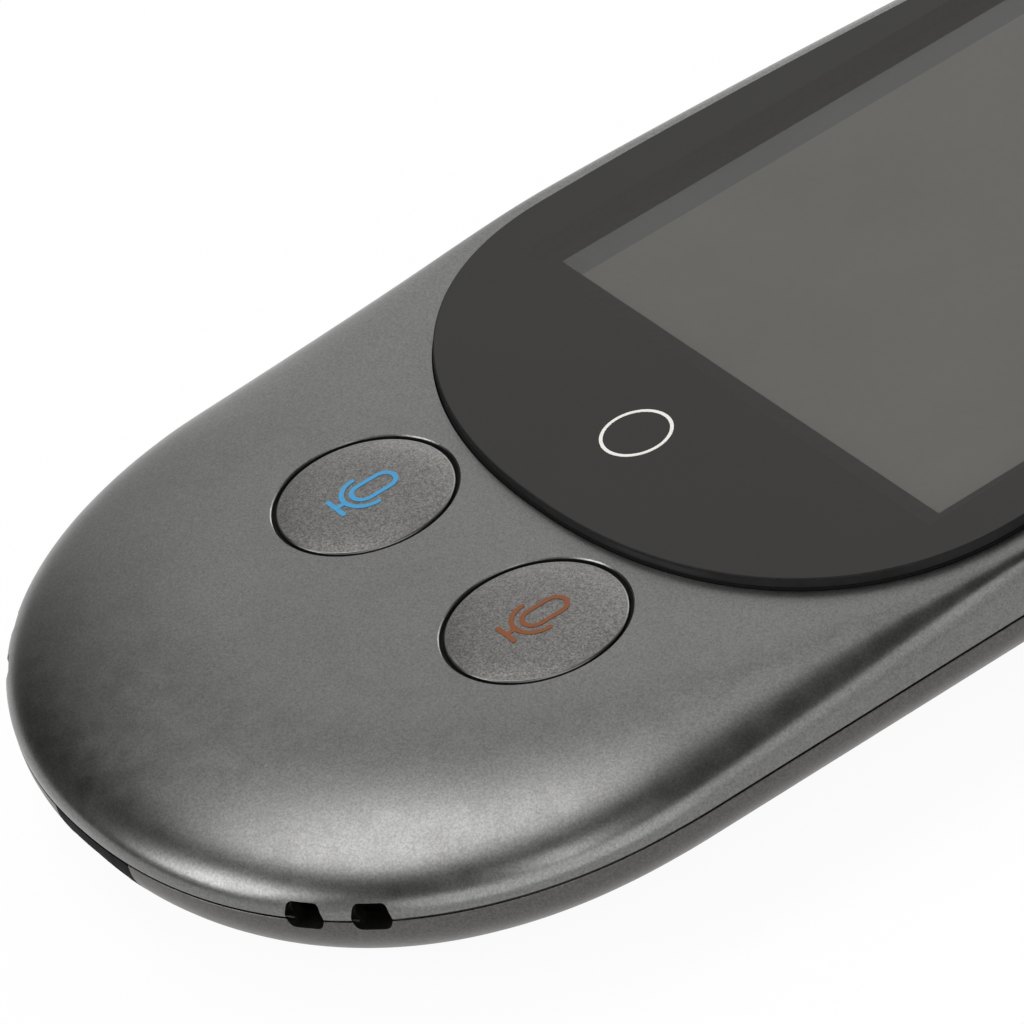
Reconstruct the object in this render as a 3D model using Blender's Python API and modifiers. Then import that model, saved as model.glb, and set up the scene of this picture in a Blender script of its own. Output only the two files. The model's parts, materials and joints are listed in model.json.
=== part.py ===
"""Hand-held voice translator: two shells, a bonded cover glass, two round talk keys and what they hold.

Frame: +Z up out of the glass, +Y from the talk keys to the top of the screen, origin at the middle of
the underside. Sizes are in metres, written through MM.
"""

import math

import bmesh
import bpy
from mathutils import Matrix, Vector

MM = 0.001

# Body outline, seen from above
BODY_LENGTH = 130.0 * MM
BODY_HALF_WIDTH = 30.35 * MM
FOOT_LENGTH = 28.3 * MM
FOOT_EXPONENT = 2.15
TAPER_FROM_HEAD = 73.7 * MM
TAPER_SPAN = 30.0 * MM
TAPER_DROP = 1.7 * MM
TAPER_EXPONENT = 1.5
HEAD_LENGTH = 31.0 * MM
HEAD_EXPONENT = 2.9

# Body section
BODY_DEPTH = 11.2 * MM
WALL = 1.0 * MM
PARTING_DROP_FOOT = 4.26 * MM
PARTING_DROP_SCREEN = 3.65 * MM
PARTING_SLOPE_LENGTH = 25.3 * MM
TOP_EDGE_SIDE = 1.6 * MM
TOP_EDGE_FOOT = 14.4 * MM
TOP_EDGE_HEAD = 2.6 * MM
TOP_EDGE_BLEND_START = 36.1 * MM
TOP_EDGE_BLEND_LENGTH = 22.7 * MM
BACK_SWEEP_SIDE = 20.3 * MM
BACK_SWEEP_FOOT = 12.8 * MM
BACK_SWEEP_HEAD = 12.0 * MM
SEAM_GAP = 0.3 * MM
SEAM_LAND = 0.32 * MM
LIP_THICKNESS = 0.7 * MM
LIP_RISE = 0.45 * MM
LIP_ROOT = 1.3 * MM

# Fits shared by every piece
GAP = 0.3 * MM
BOND_GAP = 0.3 * MM
OVERRUN = 2.0 * MM
MERGE_DISTANCE = 0.001 * MM
PILL_CORNER_SHARE = 0.45

# Cover glass
GLASS_THICKNESS = 1.1 * MM
GLASS_STAND = 0.78 * MM
GLASS_FOOT_FROM_END = 36.0 * MM
GLASS_SIDE_MARGIN = 3.05 * MM
GLASS_FOOT_LENGTH = 19.5 * MM
GLASS_FOOT_EXPONENT = 2.2
GLASS_TAPER_FROM_HEAD = 69.8 * MM
GLASS_TAPER_DROP = 1.75 * MM
GLASS_HEAD_MARGIN = 5.0 * MM
GLASS_HEAD_LENGTH = 22.0 * MM
GLASS_HEAD_EXPONENT = 2.8
GLASS_EDGE = 0.25 * MM
GLASS_GROOVE = 0.3 * MM
GLASS_BED_RIB = 0.6 * MM
GLASS_BED_INSET = 0.5 * MM

# Display module under the glass
WINDOW_SIDE_BORDER = 5.75 * MM
WINDOW_FROM_END = 52.7 * MM
WINDOW_FROM_HEAD = 20.7 * MM
MODULE_SIDE_BORDER = 0.5 * MM
MODULE_HEAD_BORDER = 1.2 * MM
MODULE_FOOT_BORDER = 5.5 * MM
MODULE_THICKNESS = 2.2 * MM
MODULE_EDGE = 0.2 * MM
TRAY_WALL = 0.4 * MM
TRAY_FLOOR = 0.7 * MM

# Talk keys
KEY_FROM_END = 29.2 * MM
KEY_SPACING = 20.24 * MM
KEY_RADIUS = 6.02 * MM
KEY_CLEARANCE = 0.36 * MM
KEY_STAND = 0.15 * MM
KEY_CROWN = 0.12 * MM
KEY_EDGE = 0.3 * MM
KEY_FLANGE_RADIUS = 7.1 * MM
KEY_FLANGE_THICKNESS = 0.8 * MM
KEY_STEM_RADIUS = 2.2 * MM
KEY_TRAVEL = 0.35 * MM
SWITCH_SIDE = 5.2 * MM
SWITCH_HEIGHT = 1.8 * MM
PLUNGER_RADIUS = 1.1 * MM
PLUNGER_STAND = 0.9 * MM
PLUNGER_SUNK = 0.5 * MM

# Key retainer plate behind the front shell
RETAINER_THICKNESS = 0.6 * MM
RETAINER_RIM = 2.2 * MM
RETAINER_STEM_CLEARANCE = 0.8 * MM

# Sound slots and USB cut-out in the foot end
SLOT_PLACE_SHARES = (0.596, 0.718)
SLOT_RISE = 0.5 * MM
SLOT_LENGTH = 3.4 * MM
SLOT_HEIGHT = 2.0 * MM
SLOT_CORNER = 0.6 * MM
SLOT_REACH = 2.9 * MM
CUT_DEPTH = 5.0 * MM
MESH_SETBACK = 1.0 * MM
MESH_LENGTH = 6.8 * MM
MESH_HEIGHT = 1.6 * MM
MESH_THICKNESS = 0.3 * MM
BOOT_LENGTH = 5.0 * MM
BOOT_DEPTH = 2.4 * MM
BOOT_HEIGHT = 3.4 * MM
USB_SLOT_WIDTH = 8.1 * MM
USB_SLOT_HEIGHT = 3.2 * MM
USB_SHELL_WIDTH = 7.4 * MM
USB_SHELL_HEIGHT = 2.5 * MM
USB_SHELL_LENGTH = 6.4 * MM
USB_SHELL_WALL = 0.35 * MM
USB_SETBACK = 0.5 * MM
USB_TONGUE_THICKNESS = 0.6 * MM

# Main board and what it carries
BOARD_THICKNESS = 0.8 * MM
BOARD_SIDE_INSET = 8.7 * MM
BOARD_FOOT_INSET = 5.2 * MM
BOARD_HEAD_FROM_END = 46.5 * MM
PROCESSOR_LENGTH = 9.0 * MM
PROCESSOR_HEIGHT = 1.5 * MM
PROCESSOR_FROM_SOCKET = 3.4 * MM
PROCESSOR_FROM_KEYS = 8.9 * MM
RADIO_SHIELD = (12.0 * MM, 9.0 * MM, 1.3 * MM)
RADIO_FROM_KEYS = -9.6 * MM
MICROPHONE = (3.5 * MM, 2.6 * MM, 1.0 * MM)
CONNECTOR = (9.0 * MM, 2.4 * MM, 1.1 * MM)
CONNECTOR_FROM_KEYS = 15.2 * MM
BATTERY_SOCKET = (4.2 * MM, 3.2 * MM, 1.5 * MM)
BATTERY_SOCKET_FROM_SIDE = 17.35 * MM
BATTERY_SOCKET_FROM_KEYS = 10.2 * MM
FLEX_WIDTH = 8.0 * MM
FLEX_THICKNESS = 0.2 * MM
FLEX_BEND = 0.6 * MM
FLEX_RISE = 0.75 * MM
BOSS_RADIUS = 2.0 * MM
BOSS_HOLE_RADIUS = 0.95 * MM
BOSSES_FROM_SIDE = (14.75 * MM, 13.35 * MM)
BOSSES_FROM_KEYS = (-11.2 * MM, 13.8 * MM)
SCREW_SHANK_RADIUS = 0.6 * MM
SCREW_HEAD_RADIUS = 1.25 * MM
SCREW_HEAD_HEIGHT = 0.55 * MM
SCREW_GRIP = 2.6 * MM
SCREW_RECESS = 0.35 * MM
SCREW_RECESS_LENGTH = 1.5 * MM

# Battery behind the screen
BATTERY_FROM_SIDE = 13.85 * MM
BATTERY_FROM_UPPER_BOARD = 3.2 * MM
BATTERY_THICKNESS = 4.6 * MM
BATTERY_STAND = 0.8 * MM
BATTERY_EDGE = 0.8 * MM
LEAD_DIAMETER = 1.1 * MM
LEAD_SIDESTEP = 2.5 * MM
LEAD_Z = 4.9 * MM
LEAD_STRAIGHT = 1.2 * MM

# Loudspeaker, upper board and aerial at the head
SPEAKER_SIDE_ROOM = 8.0 * MM
SPEAKER_LENGTH = 13.0 * MM
SPEAKER_THICKNESS = 3.4 * MM
SPEAKER_STAND = 0.6 * MM
SPEAKER_EDGE = 0.6 * MM
SPEAKER_GASKET = 0.6 * MM
SPEAKER_FROM_HEAD = 22.0 * MM
GRILLE_SLOTS = 5
GRILLE_PITCH = 2.2 * MM
GRILLE_SLOT_WIDTH = 1.0 * MM
GRILLE_SIDE_RIM = 3.0 * MM
UPPER_BOARD_FROM_SIDE = 13.35 * MM
UPPER_BOARD_LENGTH = 18.0 * MM
UPPER_BOARD_THICKNESS = 0.7 * MM
UPPER_BOARD_CORNER = 2.0 * MM
UPPER_BOARD_FROM_HEAD = 23.0 * MM
UPPER_SCREW_INSET = 3.0 * MM
UPPER_SCREW_FROM_HEAD = 27.5 * MM
UPPER_SCREW_GRIP = 2.0 * MM
AERIAL_INSET = 4.0 * MM
AERIAL_LENGTH = 5.0 * MM
AERIAL_THICKNESS = 0.4 * MM
AERIAL_FROM_HEAD = 12.5 * MM

# Side keys above the part of the body that the photograph shows
SIDE_KEY_LENGTH = 9.0 * MM
SIDE_KEY_HEIGHT = 2.0 * MM
SIDE_KEY_STAND = 0.6 * MM
SIDE_KEY_DROP = 1.35 * MM
SIDE_KEY_EDGE = 0.3 * MM
SIDE_KEY_EAR = 1.0 * MM
SIDE_KEY_EAR_THICKNESS = 0.7 * MM
SIDE_KEY_CLEARANCE = 0.3 * MM
SIDE_KEY_TRAVEL = 0.35 * MM
POWER_KEY_FROM_HEAD = 42.0 * MM
VOLUME_KEYS_FROM_HEAD = (53.0 * MM, 40.0 * MM)
SIDE_SWITCH = (3.4 * MM, 1.8 * MM, 0.9 * MM)
SIDE_BOARD_THICKNESS = 0.5 * MM
SIDE_BOARD_LENGTH = 7.0 * MM
SIDE_BOARD_HEIGHT = 2.9 * MM

# Counts of facets
FOOT_STEPS = 20
SIDE_STEPS = 9
HEAD_STEPS = 12
TOP_RINGS = 6
BACK_RINGS = 7
KEY_STEPS = 48
CROWN_STEPS = 4
LEAD_STEPS = 8
ROUND_STEPS = 32
SMALL_STEPS = 12

# Places that follow from the sizes above
FOOT_Y = -BODY_LENGTH / 2
HEAD_Y = BODY_LENGTH / 2
KEY_Y = FOOT_Y + KEY_FROM_END
GLASS_Z = BODY_DEPTH + GLASS_STAND - GLASS_THICKNESS
MODULE_Z = GLASS_Z - BOND_GAP - MODULE_THICKNESS
TRAY_Z = MODULE_Z - GAP - TRAY_FLOOR
CEILING_Z = BODY_DEPTH - WALL
BED_Z = CEILING_Z - GLASS_BED_RIB
GLASS_HALF_WIDTH = BODY_HALF_WIDTH - GLASS_SIDE_MARGIN
WINDOW_WIDTH = 2 * (GLASS_HALF_WIDTH - WINDOW_SIDE_BORDER)
WINDOW_LENGTH = BODY_LENGTH - WINDOW_FROM_END - WINDOW_FROM_HEAD
WINDOW_Y = FOOT_Y + WINDOW_FROM_END
PARTING_Z = BODY_DEPTH - PARTING_DROP_FOOT
USB_TOP_Z = PARTING_Z - SEAM_GAP
BOARD_TOP_Z = USB_TOP_Z - GAP - USB_SHELL_HEIGHT - GAP
BOARD_Z = BOARD_TOP_Z - BOARD_THICKNESS
FLANGE_TOP_Z = CEILING_Z - GAP
FLANGE_Z = FLANGE_TOP_Z - KEY_FLANGE_THICKNESS
SWITCH_TOP_Z = BOARD_TOP_Z + GAP + SWITCH_HEIGHT
PLUNGER_TOP_Z = SWITCH_TOP_Z + PLUNGER_STAND
MODULE_WIDTH = WINDOW_WIDTH + 2 * MODULE_SIDE_BORDER
MODULE_LENGTH = WINDOW_LENGTH + MODULE_HEAD_BORDER + MODULE_FOOT_BORDER
MODULE_FOOT_Y = WINDOW_Y - MODULE_FOOT_BORDER
MODULE_Y = MODULE_FOOT_Y + MODULE_LENGTH / 2
BOSS_PLACES = [(BODY_HALF_WIDTH - x, y) for x, y in zip(BOSSES_FROM_SIDE, BOSSES_FROM_KEYS)]
SLOT_PLACES = [BODY_HALF_WIDTH * share for share in SLOT_PLACE_SHARES]
BATTERY_SOCKET_X = BODY_HALF_WIDTH - BATTERY_SOCKET_FROM_SIDE
PROCESSOR_WIDTH = 2 * (BATTERY_SOCKET_X - BATTERY_SOCKET[0] / 2 - PROCESSOR_FROM_SOCKET)
LEAD_X = BATTERY_SOCKET_X - LEAD_SIDESTEP
UPPER_BOARD_WIDTH = 2 * (BODY_HALF_WIDTH - UPPER_BOARD_FROM_SIDE)
UPPER_BOARD_Y = HEAD_Y - UPPER_BOARD_FROM_HEAD
UPPER_SCREW_X = UPPER_BOARD_WIDTH / 2 - UPPER_SCREW_INSET
SPEAKER_WIDTH = UPPER_BOARD_WIDTH - 2 * SPEAKER_SIDE_ROOM
GRILLE_SLOT_LENGTH = SPEAKER_WIDTH - 2 * GRILLE_SIDE_RIM
AERIAL_WIDTH = UPPER_BOARD_WIDTH - 2 * AERIAL_INSET
BATTERY_WIDTH = 2 * (BODY_HALF_WIDTH - BATTERY_FROM_SIDE)
BATTERY_FOOT_Y = FOOT_Y + BOARD_HEAD_FROM_END + GAP
BATTERY_LENGTH = UPPER_BOARD_Y - UPPER_BOARD_LENGTH / 2 - BATTERY_FROM_UPPER_BOARD - BATTERY_FOOT_Y
SPEAKER_Y = HEAD_Y - SPEAKER_FROM_HEAD
GASKET_Z = WALL + SPEAKER_STAND
SPEAKER_Z = GASKET_Z + SPEAKER_GASKET + GAP
UPPER_BOARD_Z = SPEAKER_Z + SPEAKER_THICKNESS + GAP


def clear_scene():
    for item in list(bpy.data.objects):
        bpy.data.objects.remove(item, do_unlink=True)


def make_collection(name):
    collection = bpy.data.collections.new(name)
    bpy.context.scene.collection.children.link(collection)
    return collection


clear_scene()
PARTS = make_collection("voice_translator")
CUTTERS = make_collection("cutters")


def material(name, colour, roughness, metallic=0.0):
    made = bpy.data.materials.new(name)
    made.use_nodes = True
    shader = made.node_tree.nodes["Principled BSDF"]
    shader.inputs["Base Color"].default_value = (*colour, 1.0)
    shader.inputs["Roughness"].default_value = roughness
    shader.inputs["Metallic"].default_value = metallic
    return made


PAINT = material("grey_metallic_paint", (0.16, 0.16, 0.155), 0.42, 0.55)
BACK_PAINT = material("grey_back_paint", (0.14, 0.13, 0.125), 0.45, 0.5)
KEY_PAINT = material("grey_key_paint", (0.17, 0.165, 0.155), 0.45, 0.5)
GLASS = material("black_glass", (0.012, 0.012, 0.012), 0.05)
PANEL = material("display_panel", (0.09, 0.09, 0.085), 0.2)
STEEL = material("nickel_steel", (0.6, 0.6, 0.58), 0.3, 1.0)
BOARD_GREEN = material("board_green", (0.01, 0.09, 0.04), 0.5)
BLACK_PLASTIC = material("black_plastic", (0.02, 0.02, 0.02), 0.5)
WHITE_PLASTIC = material("white_plastic", (0.7, 0.68, 0.62), 0.5)
CELL_FOIL = material("cell_foil", (0.45, 0.46, 0.48), 0.35, 0.6)
FOAM = material("black_foam", (0.03, 0.03, 0.03), 0.95)
POLYIMIDE = material("amber_flex", (0.45, 0.2, 0.03), 0.4)
RED_SLEEVE = material("red_lead_sleeve", (0.45, 0.02, 0.02), 0.5)
GOLD = material("gold_plate", (0.8, 0.6, 0.25), 0.3, 1.0)


def link(name, mesh, finish=None):
    """Put a mesh in the parts, or in the cutters when it has no finish of its own."""
    item = bpy.data.objects.new(name, mesh)
    if finish is None:
        CUTTERS.objects.link(item)
        item.hide_render = True
        item.display_type = "WIRE"
        return item
    PARTS.objects.link(item)
    mesh.materials.append(finish)
    return item


def smooth(item, angle=40.0):
    item.data.shade_smooth()
    item.data.set_sharp_from_angle(angle=math.radians(angle))
    return item


def boolean(item, tool, operation="DIFFERENCE"):
    modifier = item.modifiers.new(operation.lower(), "BOOLEAN")
    modifier.operation = operation
    modifier.object = tool
    return item


def bevel(item, width, segments=2):
    modifier = item.modifiers.new("edge", "BEVEL")
    modifier.width = width
    modifier.segments = segments
    modifier.limit_method = "ANGLE"
    modifier.angle_limit = math.radians(60.0)
    return item


def box(name, size, centre, finish=None, turn=0.0):
    """A block of the given size, turned about Z by turn, with its own centre at centre."""
    shape = bmesh.new()
    bmesh.ops.create_cube(shape, size=1.0)
    bmesh.ops.scale(shape, vec=Vector(size), verts=shape.verts)
    mesh = bpy.data.meshes.new(name)
    shape.to_mesh(mesh)
    shape.free()
    item = link(name, mesh, finish)
    item.location = centre
    item.rotation_euler.z = turn
    return item


def cylinder(name, radius, z_low, z_high, x, y, finish=None, steps=ROUND_STEPS):
    shape = bmesh.new()
    depth = z_high - z_low
    bmesh.ops.create_cone(shape, cap_ends=True, segments=steps, radius1=radius, radius2=radius, depth=depth)
    mesh = bpy.data.meshes.new(name)
    shape.to_mesh(mesh)
    shape.free()
    item = link(name, mesh, finish)
    item.location = (x, y, (z_low + z_high) / 2)
    return item


def drill(item, radius, z_low, z_high, x, y, steps=SMALL_STEPS):
    """Cut an upright round hole through a piece."""
    return boolean(item, cylinder(f"{item.name}_drill", radius, z_low, z_high, x, y, steps=steps))


def turned(name, profile, x, y, finish=None, steps=ROUND_STEPS):
    """A solid of revolution about Z. The profile runs down its outer side, from the axis to the axis."""
    mesh = bpy.data.meshes.new(name)
    points = [(radius, 0.0, z) for radius, z in profile]
    mesh.from_pydata(points, [(i, i + 1) for i in range(len(points) - 1)], [])
    item = link(name, mesh, finish)
    screw = item.modifiers.new("turn", "SCREW")
    screw.axis = "Z"
    screw.steps = steps
    screw.render_steps = steps
    screw.use_merge_vertices = True
    screw.merge_threshold = MERGE_DISTANCE
    screw.use_smooth_shade = False
    item.location = (x, y, 0.0)
    return item


def plate(name, loop, z_low, z_high, finish=None):
    """A flat outline with straight sides between two heights."""
    curve = bpy.data.curves.new(name, "CURVE")
    curve.dimensions = "2D"
    curve.fill_mode = "BOTH"
    curve.extrude = (z_high - z_low) / 2
    spline = curve.splines.new("POLY")
    spline.points.add(len(loop) - 1)
    for point, (x, y) in zip(spline.points, loop):
        point.co = (x, y, 0.0, 1.0)
    spline.use_cyclic_u = True
    draft = bpy.data.objects.new(name + "_outline", curve)
    bpy.context.scene.collection.objects.link(draft)
    draft.location.z = (z_low + z_high) / 2
    bpy.context.view_layer.update()
    graph = bpy.context.evaluated_depsgraph_get()
    mesh = bpy.data.meshes.new_from_object(draft.evaluated_get(graph))
    shape = bmesh.new()
    shape.from_mesh(mesh)
    bmesh.ops.remove_doubles(shape, verts=shape.verts, dist=MERGE_DISTANCE)
    bmesh.ops.recalc_face_normals(shape, faces=shape.faces)
    shape.to_mesh(mesh)
    shape.free()
    mesh.materials.clear()
    item = link(name, mesh, finish)
    item.matrix_world = draft.matrix_world
    bpy.data.objects.remove(draft, do_unlink=True)
    return item


def rounded_rectangle(width, length, corner, steps=4):
    """The corner points of a rectangle about the origin, each corner an arc."""
    loop = []
    for quarter in range(4):
        sign_x = (1, -1, -1, 1)[quarter]
        sign_y = (1, 1, -1, -1)[quarter]
        for step in range(steps + 1):
            angle = math.radians(90.0) * (quarter + step / steps)
            x = sign_x * (width / 2 - corner) + corner * math.cos(angle)
            y = sign_y * (length / 2 - corner) + corner * math.sin(angle)
            loop.append((x, y))
    return loop


def moved(loop, x, y):
    return [(point[0] + x, point[1] + y) for point in loop]


def superellipse(angle, exponent):
    """A unit superellipse: the sideways and lengthways share of the point that lies at this angle."""
    across = math.sin(angle)
    along = math.cos(angle)
    reach = (abs(across) ** exponent + abs(along) ** exponent) ** (-1.0 / exponent)
    return across * reach, along * reach


def egg_side(form, inset_side=0.0, inset_foot=0.0, inset_head=0.0):
    """The right side of an egg outline from its foot to its head, drawn in by the three insets."""
    half_width = form["half_width"] - inset_side
    foot_length = form["foot_length"] - inset_foot
    foot_centre = form["foot_y"] + form["foot_length"]
    head_length = form["head_length"] - inset_head
    head_centre = form["head_y"] - form["head_length"]

    def straight(y):
        past = max(y - form["taper_y"], 0.0) / TAPER_SPAN
        return half_width - form["taper_drop"] * past**TAPER_EXPONENT

    side = []
    for step in range(FOOT_STEPS + 1):
        x_share, y_share = superellipse(math.radians(90.0) * step / FOOT_STEPS, form["foot_exponent"])
        side.append((half_width * x_share, foot_centre - foot_length * y_share))
    for step in range(1, SIDE_STEPS):
        y = foot_centre + (head_centre - foot_centre) * step / SIDE_STEPS
        side.append((straight(y), y))
    for step in range(HEAD_STEPS + 1):
        x_share, y_share = superellipse(math.radians(90.0) * (1 - step / HEAD_STEPS), form["head_exponent"])
        y = head_centre + head_length * y_share
        side.append((straight(y) * x_share, y))
    return side


def egg_loop(form, inset=0.0):
    """A whole egg outline, anticlockwise, drawn in by one inset all round."""
    side = egg_side(form, inset, inset, inset)
    return side + [(-x, y) for x, y in reversed(side[1:-1])]


BODY = {
    "half_width": BODY_HALF_WIDTH,
    "foot_y": FOOT_Y,
    "foot_length": FOOT_LENGTH,
    "foot_exponent": FOOT_EXPONENT,
    "taper_y": HEAD_Y - TAPER_FROM_HEAD,
    "taper_drop": TAPER_DROP,
    "head_y": HEAD_Y,
    "head_length": HEAD_LENGTH,
    "head_exponent": HEAD_EXPONENT,
}
GLASS_FORM = {
    "half_width": GLASS_HALF_WIDTH,
    "foot_y": FOOT_Y + GLASS_FOOT_FROM_END,
    "foot_length": GLASS_FOOT_LENGTH,
    "foot_exponent": GLASS_FOOT_EXPONENT,
    "taper_y": HEAD_Y - GLASS_TAPER_FROM_HEAD,
    "taper_drop": GLASS_TAPER_DROP,
    "head_y": HEAD_Y - GLASS_HEAD_MARGIN,
    "head_length": GLASS_HEAD_LENGTH,
    "head_exponent": GLASS_HEAD_EXPONENT,
}


def parting_height(y):
    """The seam between the shells climbs gently from the foot until it runs level beside the screen."""
    share = min(max((y - FOOT_Y) / PARTING_SLOPE_LENGTH, 0.0), 1.0)
    return BODY_DEPTH - PARTING_DROP_FOOT + (PARTING_DROP_FOOT - PARTING_DROP_SCREEN) * share


def body_half_width(y):
    """Half of the body's width at its seam, at a place along its length."""
    side = egg_side(BODY)
    for (x_low, y_low), (x_high, y_high) in zip(side, side[1:]):
        if y_low <= y <= y_high:
            return x_low + (x_high - x_low) * (y - y_low) / (y_high - y_low)
    return 0.0


def foot_point(x):
    """The point of the foot's outline at this distance from the middle, and its outward direction."""
    share = (1.0 - (abs(x) / BODY_HALF_WIDTH) ** FOOT_EXPONENT) ** (1.0 / FOOT_EXPONENT)
    y = FOOT_Y + FOOT_LENGTH * (1.0 - share)
    across = (abs(x) / BODY_HALF_WIDTH) ** (FOOT_EXPONENT - 1) / BODY_HALF_WIDTH
    along = share ** (FOOT_EXPONENT - 1) / FOOT_LENGTH
    outward = Vector((math.copysign(across, x), -along)).normalized()
    return Vector((x, y)), outward


def skin(name, rings, finish, downward=False):
    """Half of an open shell through rings of points, closed over its last ring and mirrored about X = 0."""
    shape = bmesh.new()
    rows = [[shape.verts.new(point) for point in ring] for ring in rings]
    for low, high in zip(rows, rows[1:]):
        for i in range(len(low) - 1):
            shape.faces.new((low[i], low[i + 1], high[i + 1], high[i]))
    shape.faces.new(rows[-1])
    if downward:
        bmesh.ops.reverse_faces(shape, faces=shape.faces)
    mesh = bpy.data.meshes.new(name)
    shape.to_mesh(mesh)
    shape.free()
    item = link(name, mesh, finish)
    mirror = item.modifiers.new("mirror", "MIRROR")
    mirror.merge_threshold = MERGE_DISTANCE
    return item


def solidify(item):
    wall = item.modifiers.new("wall", "SOLIDIFY")
    wall.thickness = WALL
    wall.offset = -1.0
    wall.use_even_offset = True
    return item


def eased(value, start, span):
    """A share that climbs smoothly from 0 at start to 1 at start + span."""
    share = min(max((value - start) / span, 0.0), 1.0)
    return share * share * (3.0 - 2.0 * share)


def inward(side, i):
    """The way into the body, square to its outline, at one of the outline's points."""
    before = Vector(side[i - 1]) if i else Vector((-side[1][0], side[1][1]))
    along = (Vector(side[min(i + 1, len(side) - 1)]) - before).normalized()
    return Vector((-along.y, along.x))


def drawn_in(share, amount_at, head_amount):
    """The body's outline drawn in: square to itself at the foot and sides, shrunk round the head."""
    side = egg_side(BODY)
    shrunk = egg_side(BODY, share * amount_at(HEAD_Y), 0.0, share * head_amount)
    square_count = FOOT_STEPS + SIDE_STEPS
    ring = []
    for i, (x, y) in enumerate(side[:square_count]):
        ring.append(Vector((x, y)) + inward(side, i) * share * amount_at(y))
    return ring + [Vector(point) for point in shrunk[square_count:]]


def top_edge(y):
    share = eased(y, FOOT_Y + TOP_EDGE_BLEND_START, TOP_EDGE_BLEND_LENGTH)
    return TOP_EDGE_FOOT + (TOP_EDGE_SIDE - TOP_EDGE_FOOT) * share


def back_sweep(y):
    return BACK_SWEEP_FOOT + (BACK_SWEEP_SIDE - BACK_SWEEP_FOOT) * eased(y, FOOT_Y, FOOT_LENGTH)


def land_ring(side, offset):
    """A ring of points at the seam's height, shifted up or down by an offset."""
    return [(x, y, parting_height(y) + offset) for x, y in side]


def front_rings():
    """From the seam up a short upright land and an elliptical edge to the flat face."""
    seam = egg_side(BODY)
    rings = [land_ring(seam, SEAM_GAP / 2)]
    for row in range(TOP_RINGS + 1):
        angle = math.radians(90.0) * row / TOP_RINGS
        side = drawn_in(1.0 - math.cos(angle), top_edge, TOP_EDGE_HEAD)
        ring = []
        for (x, y), (_, seam_y) in zip(side, seam):
            low = parting_height(seam_y) + SEAM_GAP / 2 + SEAM_LAND
            ring.append((x, y, low + (BODY_DEPTH - low) * math.sin(angle)))
        rings.append(ring)
    return rings


def back_rings():
    """From the seam down a short upright land and a long sweep to the flat underside."""
    seam = egg_side(BODY)
    rings = [land_ring(seam, -SEAM_GAP / 2)]
    for row in range(BACK_RINGS + 1):
        angle = math.radians(90.0) * row / BACK_RINGS
        side = drawn_in(1.0 - math.cos(angle), back_sweep, BACK_SWEEP_HEAD)
        ring = []
        for (x, y), (_, seam_y) in zip(side, seam):
            high = parting_height(seam_y) - SEAM_GAP / 2 - SEAM_LAND
            ring.append((x, y, high * (1.0 - math.sin(angle))))
        rings.append(ring)
    return rings


def screw_places():
    return [(side * x, KEY_Y + y) for x, y in BOSS_PLACES for side in (-1, 1)]


def slot_cutters(prefix):
    """Rounded slots through both shells at the seam, square to the outline, in a pair each side."""
    cutters = []
    for side in (-1, 1):
        for x in SLOT_PLACES:
            point, outward = foot_point(side * x)
            loop = rounded_rectangle(SLOT_LENGTH, SLOT_HEIGHT, SLOT_CORNER, steps=2)
            cutter = plate(f"{prefix}_slot_cutter", loop, -SLOT_REACH, SLOT_REACH)
            turn = math.atan2(outward.x, -outward.y)
            place = Matrix.Translation((point.x, point.y, parting_height(point.y) + SLOT_RISE))
            upright = Matrix.Rotation(math.radians(90.0), 4, "X")
            cutter.matrix_world = place @ Matrix.Rotation(turn, 4, "Z") @ upright
            cutters.append(cutter)
    return cutters


def make_front_shell():
    shell = solidify(skin("front_shell", front_rings(), PAINT))
    for x, y in screw_places():
        root = CEILING_Z + WALL / 2
        boss = cylinder("front_boss", BOSS_RADIUS, BOARD_TOP_Z + GAP, root, x, y, steps=SMALL_STEPS)
        boolean(shell, boss, "UNION")
    bed = plate("glass_bed", egg_loop(GLASS_FORM, GLASS_BED_INSET), BED_Z, CEILING_Z + WALL / 4)
    boolean(shell, bed, "UNION")
    above = BODY_DEPTH + OVERRUN
    boolean(shell, plate("glass_recess", egg_loop(GLASS_FORM, -GLASS_GROOVE), GLASS_Z - BOND_GAP, above))
    opening = rounded_rectangle(MODULE_WIDTH + 2 * GAP, MODULE_LENGTH + 2 * GAP, GAP, 1)
    boolean(shell, plate("module_opening", moved(opening, 0.0, MODULE_Y), BED_Z - OVERRUN, above))
    for side in (-1, 1):
        x = side * KEY_SPACING / 2
        drill(shell, KEY_RADIUS + KEY_CLEARANCE, CEILING_Z - OVERRUN, above, x, KEY_Y, KEY_STEPS)
    for x, y in screw_places():
        drill(shell, BOSS_HOLE_RADIUS, BOARD_TOP_Z - OVERRUN, CEILING_Z, x, y)
    for cutter in slot_cutters("front"):
        boolean(shell, cutter)
    return smooth(shell)


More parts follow.
